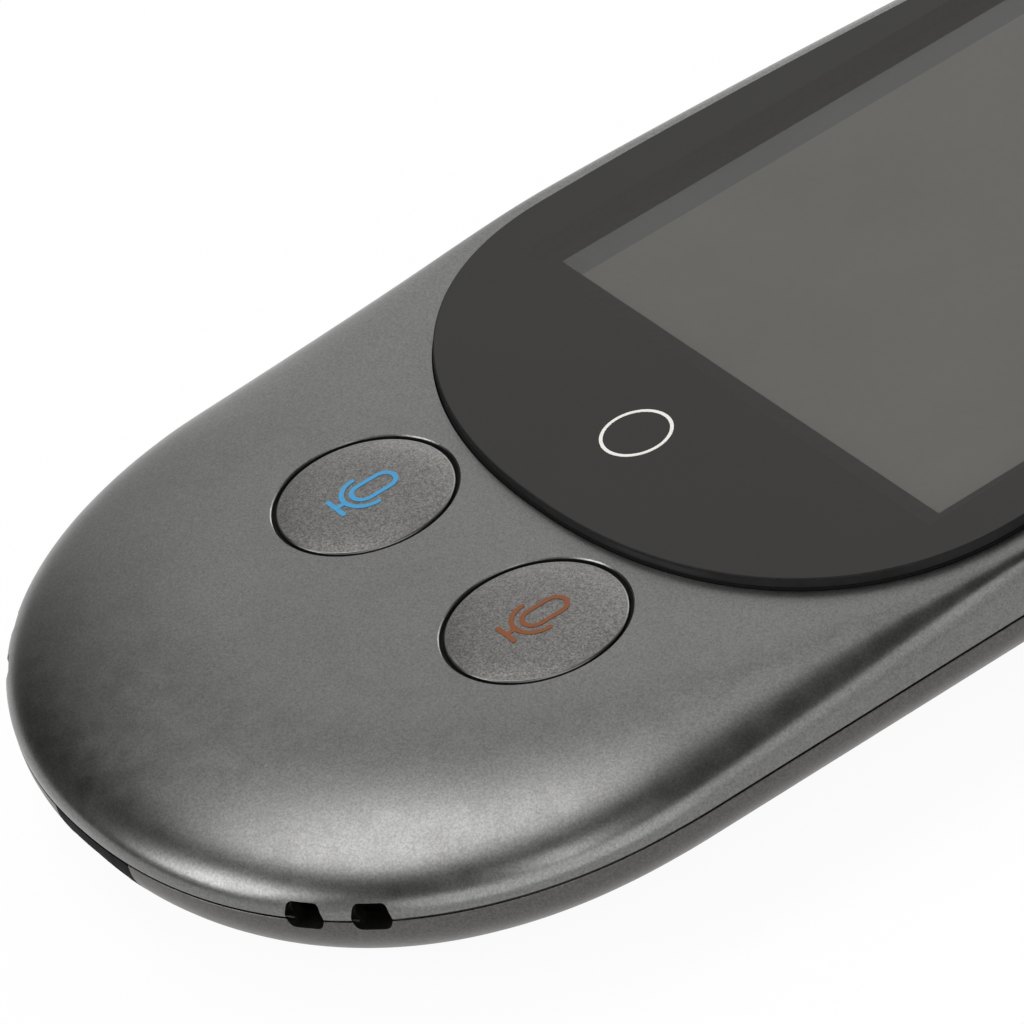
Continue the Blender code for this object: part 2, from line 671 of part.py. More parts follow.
def lip_body():
    """The ring inside the seam that lines the shells up, rooted in the back shell's wall."""
    seam = egg_side(BODY)
    inner = egg_side(BODY, *(3 * [WALL + GAP + GAP + LIP_THICKNESS]))
    outer = egg_side(BODY, *(3 * [WALL + GAP + GAP]))
    root = egg_side(BODY, *(3 * [WALL / 2 + GAP]))
    shape = bmesh.new()
    rows = []
    for (seam_x, seam_y), a, b, c in zip(seam, inner, outer, root):
        level = parting_height(seam_y)
        section = [
            (*a, level - LIP_ROOT),
            (*a, level + LIP_RISE),
            (*b, level + LIP_RISE),
            (*b, level - SEAM_GAP - GAP),
            (*c, level - SEAM_GAP - GAP),
            (*c, level - LIP_ROOT),
        ]
        rows.append([shape.verts.new(point) for point in section])
    for low, high in zip(rows, rows[1:]):
        for i in range(len(low)):
            j = (i + 1) % len(low)
            shape.faces.new((low[i], low[j], high[j], high[i]))
    mesh = bpy.data.meshes.new("lip")
    bmesh.ops.recalc_face_normals(shape, faces=shape.faces)
    shape.to_mesh(mesh)
    shape.free()
    item = link("lip", mesh)
    mirror = item.modifiers.new("mirror", "MIRROR")
    mirror.merge_threshold = MERGE_DISTANCE
    return item


def side_keys():
    """Name, side and place of each side key: power on the right, volume on the left."""
    keys = [("power", 1, POWER_KEY_FROM_HEAD)]
    keys.append(("volume_down", -1, VOLUME_KEYS_FROM_HEAD[0]))
    keys.append(("volume_up", -1, VOLUME_KEYS_FROM_HEAD[1]))
    return keys


def side_key_frame(side, from_head):
    """The point of the outer wall where a side key sits, and the turn about Z that faces it outward."""
    y = HEAD_Y - from_head
    step = SIDE_KEY_LENGTH / 2
    slope = (body_half_width(y + step) - body_half_width(y - step)) / (2 * step)
    level = parting_height(y) - SEAM_GAP / 2
    sunk_share = (SIDE_KEY_DROP - SEAM_LAND) / (level - SEAM_LAND)
    inset = back_sweep(y) * (1.0 - math.sqrt(1.0 - sunk_share**2))
    x = side * (body_half_width(y) - inset)
    return Vector((x, y, level - SIDE_KEY_DROP)), math.atan2(-slope, side)


def outward_plate(name, loop, low, high, place, turn, finish=None):
    """A plate stood on edge: its outline faces the way turn points, from low to high along that way."""
    item = plate(name, loop, low, high, finish)
    face = Matrix(((0, 0, 1, 0), (1, 0, 0, 0), (0, 1, 0, 0), (0, 0, 0, 1)))
    item.matrix_world = Matrix.Translation(place) @ Matrix.Rotation(turn, 4, "Z") @ face @ item.matrix_world
    return item


def make_back_shell():
    shell = solidify(skin("back_shell", back_rings(), BACK_PAINT, downward=True))
    boolean(shell, lip_body(), "UNION")
    usb_z = USB_TOP_Z - USB_SLOT_HEIGHT / 2 + SEAM_GAP
    usb = box("usb_cutter", (USB_SLOT_WIDTH, CUT_DEPTH * 2, USB_SLOT_HEIGHT + GAP), (0.0, FOOT_Y, usb_z))
    bevel(usb, SLOT_CORNER)
    boolean(shell, usb)
    for cutter in slot_cutters("back"):
        boolean(shell, cutter)
    for slot in range(GRILLE_SLOTS):
        y = SPEAKER_Y + (slot - (GRILLE_SLOTS - 1) / 2) * GRILLE_PITCH
        corner = GRILLE_SLOT_WIDTH * PILL_CORNER_SHARE
        loop = rounded_rectangle(GRILLE_SLOT_LENGTH, GRILLE_SLOT_WIDTH, corner, 2)
        boolean(shell, plate("grille_cutter", moved(loop, 0.0, y), -OVERRUN, WALL + OVERRUN))
    for name, side, from_head in side_keys():
        place, turn = side_key_frame(side, from_head)
        width = SIDE_KEY_LENGTH + 2 * SIDE_KEY_CLEARANCE
        height = SIDE_KEY_HEIGHT + 2 * SIDE_KEY_CLEARANCE
        loop = rounded_rectangle(width, height, SIDE_KEY_HEIGHT * PILL_CORNER_SHARE, 3)
        boolean(shell, outward_plate(name + "_hole", loop, -CUT_DEPTH, OVERRUN, place, turn))
        pocket_width = width + 2 * SIDE_KEY_EAR
        pocket = rounded_rectangle(pocket_width, height, SIDE_KEY_EDGE, 1)
        boolean(shell, outward_plate(name + "_pocket", pocket, -CUT_DEPTH, -WALL, place, turn))
    return smooth(shell)


def make_cover_glass():
    glass = plate("cover_glass", egg_loop(GLASS_FORM), GLASS_Z, BODY_DEPTH + GLASS_STAND, GLASS)
    return smooth(bevel(glass, GLASS_EDGE))


def make_display():
    """The liquid crystal module and the steel tray bonded up under the front shell round it."""
    size = (MODULE_WIDTH, MODULE_LENGTH, MODULE_THICKNESS)
    module = box("display_module", size, (0.0, MODULE_Y, MODULE_Z + MODULE_THICKNESS / 2), PANEL)
    bevel(module, MODULE_EDGE, 1)
    tray_top = BED_Z - GAP
    width = MODULE_WIDTH + 2 * (GAP + TRAY_WALL)
    length = MODULE_LENGTH + 2 * (GAP + TRAY_WALL)
    centre = (0.0, MODULE_Y, (tray_top + TRAY_Z) / 2)
    tray = box("display_tray", (width, length, tray_top - TRAY_Z), centre, STEEL)
    inner = (MODULE_WIDTH + 2 * GAP, MODULE_LENGTH + 2 * GAP, tray_top - MODULE_Z + GAP + OVERRUN)
    boolean(tray, box("tray_hollow", inner, (0.0, MODULE_Y, MODULE_Z - GAP + inner[2] / 2)))
    notch = (FLEX_WIDTH + 2 * GAP, 2 * (TRAY_WALL + GAP), tray_top - TRAY_Z + 2 * OVERRUN)
    boolean(tray, box("tray_notch", notch, (0.0, MODULE_Y - length / 2, (tray_top + TRAY_Z) / 2)))
    for x, y in upper_screw_places():
        drill(tray, BOSS_HOLE_RADIUS, TRAY_Z - OVERRUN, tray_top, x, y)


def ribbon(name, path, width, thickness, finish):
    """A flat cable: a strip along a path in the plane X = 0, given a thickness."""
    shape = bmesh.new()
    left = [shape.verts.new((-width / 2, y, z)) for y, z in path]
    right = [shape.verts.new((width / 2, y, z)) for y, z in path]
    for i in range(len(path) - 1):
        shape.faces.new((left[i], right[i], right[i + 1], left[i + 1]))
    mesh = bpy.data.meshes.new(name)
    shape.to_mesh(mesh)
    shape.free()
    item = link(name, mesh, finish)
    wall = item.modifiers.new("foil", "SOLIDIFY")
    wall.thickness = thickness
    wall.offset = 0.0
    return item


def bend(centre_y, centre_z, start, end, steps=5):
    """Points of a quarter bend in the Y-Z plane, between two angles in degrees."""
    points = []
    for step in range(steps + 1):
        angle = math.radians(start + (end - start) * step / steps)
        points.append((centre_y + FLEX_BEND * math.cos(angle), centre_z + FLEX_BEND * math.sin(angle)))
    return points


def make_display_flex():
    """The display's flat cable leaves its foot, drops past the tray and lies on its connector."""
    high = MODULE_Z + FLEX_RISE
    drop_y = MODULE_FOOT_Y - GAP - TRAY_WALL - GAP - 2 * FLEX_BEND
    low = BOARD_TOP_Z + GAP + CONNECTOR[2] + GAP + FLEX_THICKNESS
    path = [(MODULE_FOOT_Y - GAP, high)]
    path += bend(drop_y + FLEX_BEND, high - FLEX_BEND, 90.0, 180.0)
    path += bend(drop_y - FLEX_BEND, low + FLEX_BEND, 0.0, -90.0)
    path.append((KEY_Y + CONNECTOR_FROM_KEYS - CONNECTOR[1] / 2, low))
    ribbon("display_flex", path, FLEX_WIDTH, FLEX_THICKNESS, POLYIMIDE)
    on_board("display_connector", CONNECTOR, 0.0, KEY_Y + CONNECTOR_FROM_KEYS, BLACK_PLASTIC)


def key_profile():
    """Half a talk key, from its crown down to the flat end of its stem."""
    top = BODY_DEPTH + KEY_STAND
    stem_end = PLUNGER_TOP_Z + GAP
    profile = []
    rim = KEY_RADIUS - KEY_EDGE
    for step in range(CROWN_STEPS + 1):
        share = step / CROWN_STEPS
        profile.append((rim * share, top + KEY_CROWN * (1.0 - share**2)))
    profile.append((KEY_RADIUS, top - KEY_EDGE))
    profile.append((KEY_RADIUS, FLANGE_TOP_Z))
    profile.append((KEY_FLANGE_RADIUS, FLANGE_TOP_Z))
    profile.append((KEY_FLANGE_RADIUS, FLANGE_Z))
    profile.append((KEY_STEM_RADIUS, FLANGE_Z))
    profile.append((KEY_STEM_RADIUS, stem_end))
    profile.append((0.0, stem_end))
    return profile


def make_talk_keys():
    for name, side in (("left", -1), ("right", 1)):
        x = side * KEY_SPACING / 2
        smooth(turned(f"{name}_talk_key", key_profile(), x, KEY_Y, KEY_PAINT, KEY_STEPS))
        low = SWITCH_TOP_Z - PLUNGER_SUNK
        plunger = f"{name}_switch_plunger"
        cylinder(plunger, PLUNGER_RADIUS, low, PLUNGER_TOP_Z, x, KEY_Y, BLACK_PLASTIC, SMALL_STEPS)
        base_z = BOARD_TOP_Z + GAP
        size = (SWITCH_SIDE, SWITCH_SIDE, SWITCH_HEIGHT)
        switch = box(f"{name}_talk_switch", size, (x, KEY_Y, base_z + SWITCH_HEIGHT / 2), STEEL)
        pit_floor = low - KEY_TRAVEL - GAP
        drill(switch, PLUNGER_RADIUS + GAP, pit_floor, SWITCH_TOP_Z + OVERRUN, x, KEY_Y)


def make_key_retainer():
    """A plate behind the key flanges that stops the caps falling in, hung from the front bosses."""
    top = FLANGE_Z - KEY_TRAVEL - GAP
    length = 2 * (KEY_FLANGE_RADIUS + RETAINER_RIM)
    width = KEY_SPACING + length
    loop = moved(rounded_rectangle(width, length, RETAINER_RIM + GAP, 3), 0.0, KEY_Y)
    retainer = plate("key_retainer", loop, top - RETAINER_THICKNESS, top, STEEL)
    for side in (-1, 1):
        x = side * KEY_SPACING / 2
        drill(retainer, KEY_STEM_RADIUS + RETAINER_STEM_CLEARANCE, top - OVERRUN, top + OVERRUN, x, KEY_Y)
    for x, y in screw_places():
        drill(retainer, BOSS_RADIUS + GAP, top - OVERRUN, top + OVERRUN, x, y)


def make_main_board():
    """The board follows the foot of the body inside the wall and stops short of the battery."""
    head = FOOT_Y + BOARD_HEAD_FROM_END
    side = [point for point in egg_side(BODY, BOARD_SIDE_INSET, BOARD_FOOT_INSET, 0.0) if point[1] < head]
    side.append((side[-1][0], head))
    loop = side + [(-x, y) for x, y in reversed(side) if x > 0]
    board = plate("main_board", loop, BOARD_Z, BOARD_TOP_Z, BOARD_GREEN)
    for x, y in screw_places():
        drill(board, SCREW_SHANK_RADIUS + GAP, BOARD_Z - OVERRUN, BOARD_TOP_Z + OVERRUN, x, y)


def screw(name, x, y, top_z, grip):
    """A pan-head screw put in from below, with a cross recess in its head."""
    head_low = top_z - SCREW_HEAD_HEIGHT
    profile = [
        (0.0, top_z + grip),
        (SCREW_SHANK_RADIUS, top_z + grip),
        (SCREW_SHANK_RADIUS, top_z),
        (SCREW_HEAD_RADIUS, top_z),
        (SCREW_HEAD_RADIUS, head_low + SCREW_RECESS / 2),
        (SCREW_HEAD_RADIUS - SCREW_RECESS / 2, head_low),
        (0.0, head_low),
    ]
    item = turned(name, profile, x, y, STEEL, steps=SMALL_STEPS)
    bar = (SCREW_RECESS_LENGTH, SCREW_RECESS, SCREW_RECESS * 2)
    for turn in (0.0, math.radians(90.0)):
        boolean(item, box("cross_recess", bar, (x, y, head_low), turn=turn))
    return item


def make_board_screws():
    for count, (x, y) in enumerate(screw_places()):
        screw(f"board_screw_{count + 1}", x, y, BOARD_Z - GAP, SCREW_GRIP)


def on_board(name, size, x, y, finish):
    return box(name, size, (x, y, BOARD_TOP_Z + GAP + size[2] / 2), finish)


def make_board_parts():
    radio = on_board("radio_shield", RADIO_SHIELD, 0.0, KEY_Y + RADIO_FROM_KEYS, STEEL)
    bevel(radio, GAP, 1)
    size = (PROCESSOR_WIDTH, PROCESSOR_LENGTH, PROCESSOR_HEIGHT)
    processor = on_board("processor_shield", size, 0.0, KEY_Y + PROCESSOR_FROM_KEYS, STEEL)
    bevel(processor, GAP, 1)
    socket_y = KEY_Y + BATTERY_SOCKET_FROM_KEYS
    on_board("battery_socket", BATTERY_SOCKET, BATTERY_SOCKET_X, socket_y, WHITE_PLASTIC)


def make_sound_path(name, side):
    """Behind each pair of slots: a dust mesh, a rubber boot that leads the sound down, and a microphone."""
    point, outward = foot_point(side * sum(SLOT_PLACES) / len(SLOT_PLACES))
    turn = math.atan2(outward.x, -outward.y)
    depth = WALL + 2 * GAP + LIP_THICKNESS + MESH_SETBACK

    def behind(thickness):
        nonlocal depth
        centre = point - outward * (depth + thickness / 2)
        depth += thickness + GAP
        return centre

    place = behind(MESH_THICKNESS)
    size = (MESH_LENGTH, MESH_THICKNESS, MESH_HEIGHT)
    level = parting_height(point.y) + SLOT_RISE
    box(f"{name}_sound_mesh", size, (place.x, place.y, level), BLACK_PLASTIC, turn)
    for piece, size, finish in (
        ("sound_boot", (BOOT_LENGTH, BOOT_DEPTH, BOOT_HEIGHT), FOAM),
        ("microphone", MICROPHONE, GOLD),
    ):
        place = behind(size[1])
        box(f"{name}_{piece}", size, (place.x, place.y, BOARD_TOP_Z + GAP + size[2] / 2), finish, turn)


def make_usb():
    """A charging socket on the board behind the cut-out: a folded steel shell round a moulded tongue."""
    face = FOOT_Y + WALL + USB_SETBACK
    z = BOARD_TOP_Z + GAP + USB_SHELL_HEIGHT / 2
    y = face + USB_SHELL_LENGTH / 2
    size = (USB_SHELL_WIDTH, USB_SHELL_LENGTH, USB_SHELL_HEIGHT)
    shell = box("usb_socket_shell", size, (0.0, y, z), STEEL)
    bevel(shell, USB_SHELL_WALL, 2)
    inner = (size[0] - 2 * USB_SHELL_WALL, size[1], size[2] - 2 * USB_SHELL_WALL)
    boolean(shell, box("usb_bore", inner, (0.0, y - USB_SHELL_WALL, z)))
    tongue = (inner[0] - 4 * GAP, USB_SHELL_LENGTH - 3 * USB_SHELL_WALL - GAP, USB_TONGUE_THICKNESS)
    tongue_y = face + USB_SHELL_LENGTH - USB_SHELL_WALL - GAP - tongue[1] / 2
    box("usb_tongue", tongue, (0.0, tongue_y, z), BLACK_PLASTIC)


def tube(name, path, diameter, finish):
    """A round lead along a path."""
    curve = bpy.data.curves.new(name, "CURVE")
    curve.dimensions = "3D"
    curve.bevel_depth = diameter / 2
    curve.bevel_resolution = 2
    curve.use_fill_caps = True
    spline = curve.splines.new("POLY")
    spline.points.add(len(path) - 1)
    for point, place in zip(spline.points, path):
        point.co = (*place, 1.0)
    item = bpy.data.objects.new(name, curve)
    curve.materials.append(finish)
    PARTS.objects.link(item)
    return item


def make_battery():
    """A pouch cell behind the screen, and its lead to the socket on the board."""
    low = WALL + BATTERY_STAND
    y = BATTERY_FOOT_Y + BATTERY_LENGTH / 2
    size = (BATTERY_WIDTH, BATTERY_LENGTH, BATTERY_THICKNESS)
    bevel(box("battery", size, (0.0, y, low + BATTERY_THICKNESS / 2), CELL_FOIL), BATTERY_EDGE)
    start = BATTERY_FOOT_Y - GAP
    end = KEY_Y + BATTERY_SOCKET_FROM_KEYS + BATTERY_SOCKET[1] / 2 + GAP
    path = [(LEAD_X, start, LEAD_Z)]
    for step in range(LEAD_STEPS + 1):
        share = step / LEAD_STEPS
        x = LEAD_X + (BATTERY_SOCKET_X - LEAD_X) * eased(share, 0.0, 1.0)
        path.append((x, start - LEAD_STRAIGHT + (end - start + 2 * LEAD_STRAIGHT) * share, LEAD_Z))
    path.append((BATTERY_SOCKET_X, end, LEAD_Z))
    tube("battery_lead", path, LEAD_DIAMETER, RED_SLEEVE)


def upper_screw_places():
    return [(side * UPPER_SCREW_X, HEAD_Y - UPPER_SCREW_FROM_HEAD) for side in (-1, 1)]


def make_head_parts():
    """The loudspeaker on its gasket behind the grille, the upper board over it, and the aerial."""
    gasket_z = GASKET_Z + SPEAKER_GASKET / 2
    size = (SPEAKER_WIDTH, SPEAKER_LENGTH, SPEAKER_GASKET)
    gasket = box("speaker_gasket", size, (0.0, SPEAKER_Y, gasket_z), FOAM)
    mouth = (GRILLE_SLOT_LENGTH + 2 * GAP, GRILLE_SLOTS * GRILLE_PITCH, 4 * SPEAKER_GASKET)
    boolean(gasket, box("gasket_mouth", mouth, (0.0, SPEAKER_Y, gasket_z)))
    size = (SPEAKER_WIDTH, SPEAKER_LENGTH, SPEAKER_THICKNESS)
    speaker = box("loudspeaker", size, (0.0, SPEAKER_Y, SPEAKER_Z + SPEAKER_THICKNESS / 2), BLACK_PLASTIC)
    bevel(speaker, SPEAKER_EDGE)
    sheet = rounded_rectangle(UPPER_BOARD_WIDTH, UPPER_BOARD_LENGTH, UPPER_BOARD_CORNER, 3)
    board_top = UPPER_BOARD_Z + UPPER_BOARD_THICKNESS
    board = plate("upper_board", moved(sheet, 0.0, UPPER_BOARD_Y), UPPER_BOARD_Z, board_top, BOARD_GREEN)
    for count, (x, y) in enumerate(upper_screw_places()):
        drill(board, SCREW_SHANK_RADIUS + GAP, UPPER_BOARD_Z - OVERRUN, board_top + OVERRUN, x, y)
        screw(f"upper_screw_{count + 1}", x, y, UPPER_BOARD_Z - GAP, UPPER_SCREW_GRIP)
    aerial_top = BED_Z - GAP
    aerial = (AERIAL_WIDTH, AERIAL_LENGTH, AERIAL_THICKNESS)
    centre = (0.0, HEAD_Y - AERIAL_FROM_HEAD, aerial_top - AERIAL_THICKNESS / 2)
    box("aerial_flex", aerial, centre, POLYIMIDE)


def make_side_keys():
    """Each side key is a pill with ears behind the wall, and a switch on its own board behind them."""
    for name, side, from_head in side_keys():
        place, turn = side_key_frame(side, from_head)
        ear_high = -WALL - GAP
        ear_low = ear_high - SIDE_KEY_EAR_THICKNESS
        pill = rounded_rectangle(SIDE_KEY_LENGTH, SIDE_KEY_HEIGHT, SIDE_KEY_HEIGHT * PILL_CORNER_SHARE, 3)
        key = outward_plate(f"{name}_key", pill, ear_low, SIDE_KEY_STAND, place, turn, KEY_PAINT)
        ears = rounded_rectangle(SIDE_KEY_LENGTH + 2 * SIDE_KEY_EAR, SIDE_KEY_HEIGHT, SIDE_KEY_EDGE, 1)
        boolean(key, outward_plate(f"{name}_ears", ears, ear_low, ear_high, place, turn), "UNION")
        switch_high = ear_low - SIDE_KEY_TRAVEL - GAP
        switch_low = switch_high - SIDE_SWITCH[2]
        face = rounded_rectangle(SIDE_SWITCH[0], SIDE_SWITCH[1], SIDE_KEY_EDGE, 1)
        outward_plate(f"{name}_switch", face, switch_low, switch_high, place, turn, STEEL)
        board_high = switch_low - GAP
        board_low = board_high - SIDE_BOARD_THICKNESS
        sheet = rounded_rectangle(SIDE_BOARD_LENGTH, SIDE_BOARD_HEIGHT, SIDE_KEY_EDGE, 1)
        outward_plate(f"{name}_key_board", sheet, board_low, board_high, place, turn, BOARD_GREEN)


def build():
    make_front_shell()
    make_back_shell()
    make_cover_glass()
    make_display()
    make_talk_keys()
    make_key_retainer()
    make_main_board()
    make_board_screws()
    make_board_parts()
    make_display_flex()
    make_sound_path("left", -1)
    make_sound_path("right", 1)
    make_usb()
    make_battery()
    make_head_parts()
    make_side_keys()


build()
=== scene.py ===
"""Looks of a hand-held voice translator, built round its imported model.

Sizes are in metres, written through MM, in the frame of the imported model: +Z up out of the glass, +Y from
the talk keys to the top of the screen, origin at the middle of the underside.
"""

import json
import math

import bmesh
import bpy
from mathutils import Matrix, Vector


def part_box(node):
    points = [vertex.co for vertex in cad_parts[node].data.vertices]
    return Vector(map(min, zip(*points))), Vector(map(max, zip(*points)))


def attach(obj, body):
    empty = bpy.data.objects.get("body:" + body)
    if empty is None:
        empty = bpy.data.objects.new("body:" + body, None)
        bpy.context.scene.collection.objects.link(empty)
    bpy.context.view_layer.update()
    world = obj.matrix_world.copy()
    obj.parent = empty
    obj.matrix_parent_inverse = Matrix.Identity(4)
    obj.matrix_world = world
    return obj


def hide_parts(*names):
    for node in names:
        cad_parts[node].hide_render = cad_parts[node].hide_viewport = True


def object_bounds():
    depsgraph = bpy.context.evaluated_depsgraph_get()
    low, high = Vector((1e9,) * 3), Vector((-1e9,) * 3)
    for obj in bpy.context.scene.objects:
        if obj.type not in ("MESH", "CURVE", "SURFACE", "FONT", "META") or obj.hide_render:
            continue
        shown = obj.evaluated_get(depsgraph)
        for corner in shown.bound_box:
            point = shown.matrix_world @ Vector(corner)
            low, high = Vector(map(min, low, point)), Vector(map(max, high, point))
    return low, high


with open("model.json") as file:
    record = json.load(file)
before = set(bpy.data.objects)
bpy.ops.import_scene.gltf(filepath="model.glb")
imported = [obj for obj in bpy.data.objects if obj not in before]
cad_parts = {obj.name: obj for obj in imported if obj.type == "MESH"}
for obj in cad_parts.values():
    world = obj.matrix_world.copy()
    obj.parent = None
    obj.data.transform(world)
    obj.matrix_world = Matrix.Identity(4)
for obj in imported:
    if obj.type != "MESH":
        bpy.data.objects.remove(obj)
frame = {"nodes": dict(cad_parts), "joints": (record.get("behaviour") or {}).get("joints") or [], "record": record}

CAD_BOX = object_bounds()
MM = 0.001

# Camera, fitted to the photograph
CAMERA_PLACE = Vector((374.86, -199.83, 303.39)) * MM
CAMERA_LOOK = Vector((-0.7434893, 0.3354186, -0.5785482))
CAMERA_UP = Vector((-0.3900792, 0.4851868, 0.7825803))
CAMERA_LENS_MM = 277.44
CAMERA_SENSOR_MM = 36.0
CAMERA_NEAR = 10 * MM
CAMERA_FAR = 20000 * MM

# Body outline, as in the model's shells
FOOT_LENGTH = 28.3 * MM
FOOT_EXPONENT = 2.15
TAPER_FROM_HEAD = 73.7 * MM
TAPER_SPAN = 30.0 * MM
TAPER_DROP = 1.7 * MM
TAPER_EXPONENT = 1.5
HEAD_LENGTH = 31.0 * MM
HEAD_EXPONENT = 2.9

# Body section
WALL = 0.7 * MM
PARTING_DROP_FOOT = 4.26 * MM
PARTING_DROP_SCREEN = 3.65 * MM
PARTING_SLOPE_LENGTH = 25.3 * MM
TOP_EDGE_SIDE = 1.51 * MM
TOP_EDGE_FOOT = 14.54 * MM
TOP_EDGE_HEAD = 2.6 * MM
TOP_EDGE_BLEND_START = 15.34 * MM
TOP_EDGE_BLEND_LENGTH = 40.85 * MM
TOP_FULLNESS_FOOT = 2.0
TOP_FULLNESS_SIDE = 2.56
TOP_FULLNESS_BLEND_START = 12.18 * MM
TOP_FULLNESS_BLEND_LENGTH = 29.67 * MM
BACK_FULLNESS = 2.0
BACK_SWEEP_SIDE = 20.3 * MM
BACK_SWEEP_FOOT = 12.8 * MM
BACK_SWEEP_HEAD = 12.0 * MM
SEAM_GAP = 0.16 * MM
SEAM_LAND = 0.32 * MM
SEAM_EDGE = 0.03 * MM
LIP_INSET = 0.95 * MM
LIP_THICKNESS = 0.7 * MM
LIP_RISE = 0.6 * MM
LIP_ROOT = 1.3 * MM

# Cover glass
GLASS_FOOT_LENGTH = 19.5 * MM
GLASS_FOOT_EXPONENT = 2.2
GLASS_TAPER_FROM_HEAD = 69.8 * MM
GLASS_TAPER_DROP = 1.75 * MM
GLASS_HEAD_LENGTH = 22.0 * MM
GLASS_HEAD_EXPONENT = 2.8
GLASS_EDGE = 0.12 * MM
GLASS_GROOVE = 0.16 * MM
# Bead round the glass: a dark joint, and the shade in it painted black
JOINT_SHADE_WIDTH = 0.12 * MM
JOINT_SHADE_OVERLAP = 0.04 * MM
JOINT_SHADE_STAND = 0.12 * MM
JOINT_SHADE_DEPTH = 0.4 * MM
WINDOW_SIDE_BORDER = 5.75 * MM
WINDOW_FROM_END = 52.7 * MM
WINDOW_FROM_HEAD = 20.7 * MM
WINDOW_STRIP = 2.4 * MM
CLEAR_MARGIN = 1.8 * MM
WINDOW_BACKING = 0.03 * MM
PANE_THICKNESS = 0.2 * MM
PANE_CLEARANCE = 0.01 * MM
PANE_CORNER = 0.02 * MM
GLASS_IOR = 1.15
GLASS_ROUGHNESS = 0.03

# Talk keys and the marks on them
KEY_RADIUS = 6.02 * MM
KEY_CLEARANCE = 0.28 * MM
KEY_CROWN = 0.3 * MM
KEY_CROWN_EXPONENT = 4
KEY_EDGE = 0.16 * MM
KEY_FLANGE_DROP = 1.3 * MM
KEY_FLANGE_RADIUS = 7.1 * MM
KEY_FLANGE_THICKNESS = 0.8 * MM
KEY_STEM_RADIUS = 2.2 * MM
HOLE_EDGE = 0.07 * MM
SEAL_CLEARANCE = 0.04 * MM
SEAL_DROP = 0.3 * MM
SEAL_THICKNESS = 0.3 * MM
# Lining of the key hole: black for the hole's dark wall and painted shade in the gap
SEAL_SHADE_LINING = 0.07 * MM
SEAL_SHADE_LINING_DROP = 0.1 * MM
MARK_CAPSULE_RADIUS = 0.85 * MM
MARK_CAPSULE_HALF = 0.75 * MM
MARK_CAPSULE_RISE = 0.75 * MM
MARK_YOKE_RADIUS = 1.62 * MM
MARK_YOKE_RISE = 0.1 * MM
MARK_FOOT_DROP = 2.25 * MM
MARK_FOOT_HALF = 0.95 * MM
MARK_STROKE = 0.35 * MM
MARK_THICKNESS = 0.03 * MM
MARK_SINK = 0.01 * MM
RING_RADIUS = 2.35 * MM
RING_STROKE = 0.24 * MM
RING_FROM_KEYS = 15.07 * MM

# Cuts in the foot, the back and the sides
SLOT_PLACE_SHARES = (0.603, 0.721)
SLOT_OUTLINE_MM = ((1.05, -0.66), (1.38, 0.1), (1.06, 1.18), (-1.06, 1.18), (-1.38, 0.1), (-1.05, -0.66))
SLOT_CORNER = 0.34 * MM
SLOT_REACH = 2.9 * MM
USB_SLOT_WIDTH = 9.0 * MM
USB_SLOT_HEIGHT = 3.5 * MM
USB_SLOT_DEPTH = 5.0 * MM
USB_SLOT_CORNER = 0.6 * MM
PORT_CLEARANCE = 0.03 * MM
PORT_LAND = 0.1 * MM
PORT_BACK = 1.45 * MM
PORT_MOUTH_WIDTH = 6.9 * MM
PORT_MOUTH_HEIGHT = 1.3 * MM
PORT_MOUTH_CORNER = 0.4 * MM
GRILLE_SLOTS = 5
GRILLE_PITCH = 2.2 * MM
GRILLE_SLOT_WIDTH = 1.0 * MM
GRILLE_SLOT_LENGTH = 12.0 * MM
SPEAKER_FROM_HEAD = 22.0 * MM
SIDE_KEY_LENGTH = 9.0 * MM
SIDE_KEY_HEIGHT = 2.0 * MM
SIDE_KEY_STAND = 0.6 * MM
SIDE_KEY_EDGE = 0.3 * MM
SIDE_KEY_EAR = 1.0 * MM
SIDE_KEY_EAR_THICKNESS = 0.7 * MM
SIDE_KEY_WALL = 1.0 * MM
SIDE_KEY_GAP = 0.3 * MM
SIDE_KEY_CLEARANCE = 0.25 * MM
PILL_CORNER_SHARE = 0.45
CUT_DEPTH = 5.0 * MM
OVERRUN = 2.0 * MM

# Counts of facets
FOOT_STEPS = 72
SIDE_STEPS = 56
HEAD_STEPS = 44
TOP_RINGS = 26
BACK_RINGS = 24
KEY_STEPS = 160
CROWN_STEPS = 16
EDGE_STEPS = 5
CORNER_STEPS = 8
SOFT_CORNER_STEPS = 5
PORT_SIDE_PARTS = 6
PORT_ROWS = 4
ARC_STEPS = 24
CAP_STEPS = 8
RING_STEPS = 96

# Angles and tolerances
QUARTER_TURN = math.radians(90.0)
HALF_TURN = math.radians(180.0)
UP = Vector((0.0, 0.0, 1.0))
SHARP_DEGREES = 35.0
ROUND_RIM_DEGREES = 50.0
LEVEL_NORMAL = 0.999
MERGE_DISTANCE = 0.001 * MM

# Metallic paints: colour, roughness, size of the flakes in millimetres, how much they differ in brightness,
# and depth of the grain in millimetres
PAINTS = {
    "shell_paint": ((0.17, 0.17, 0.166), 0.3, 0.1, 0.16, 0.003),
    "back_paint": ((0.105, 0.1, 0.095), 0.4, 0.12, 0.16, 0.004),
    "key_paint": ((0.144, 0.141, 0.135), 0.42, 0.1, 0.34, 0.008),
    # The rim's paint is glossier than the face's and a touch lighter, a slight painted highlight along the rim
    "key_rim_highlight": ((0.15, 0.147, 0.142), 0.3, 0.1, 0.1, 0.002),
}

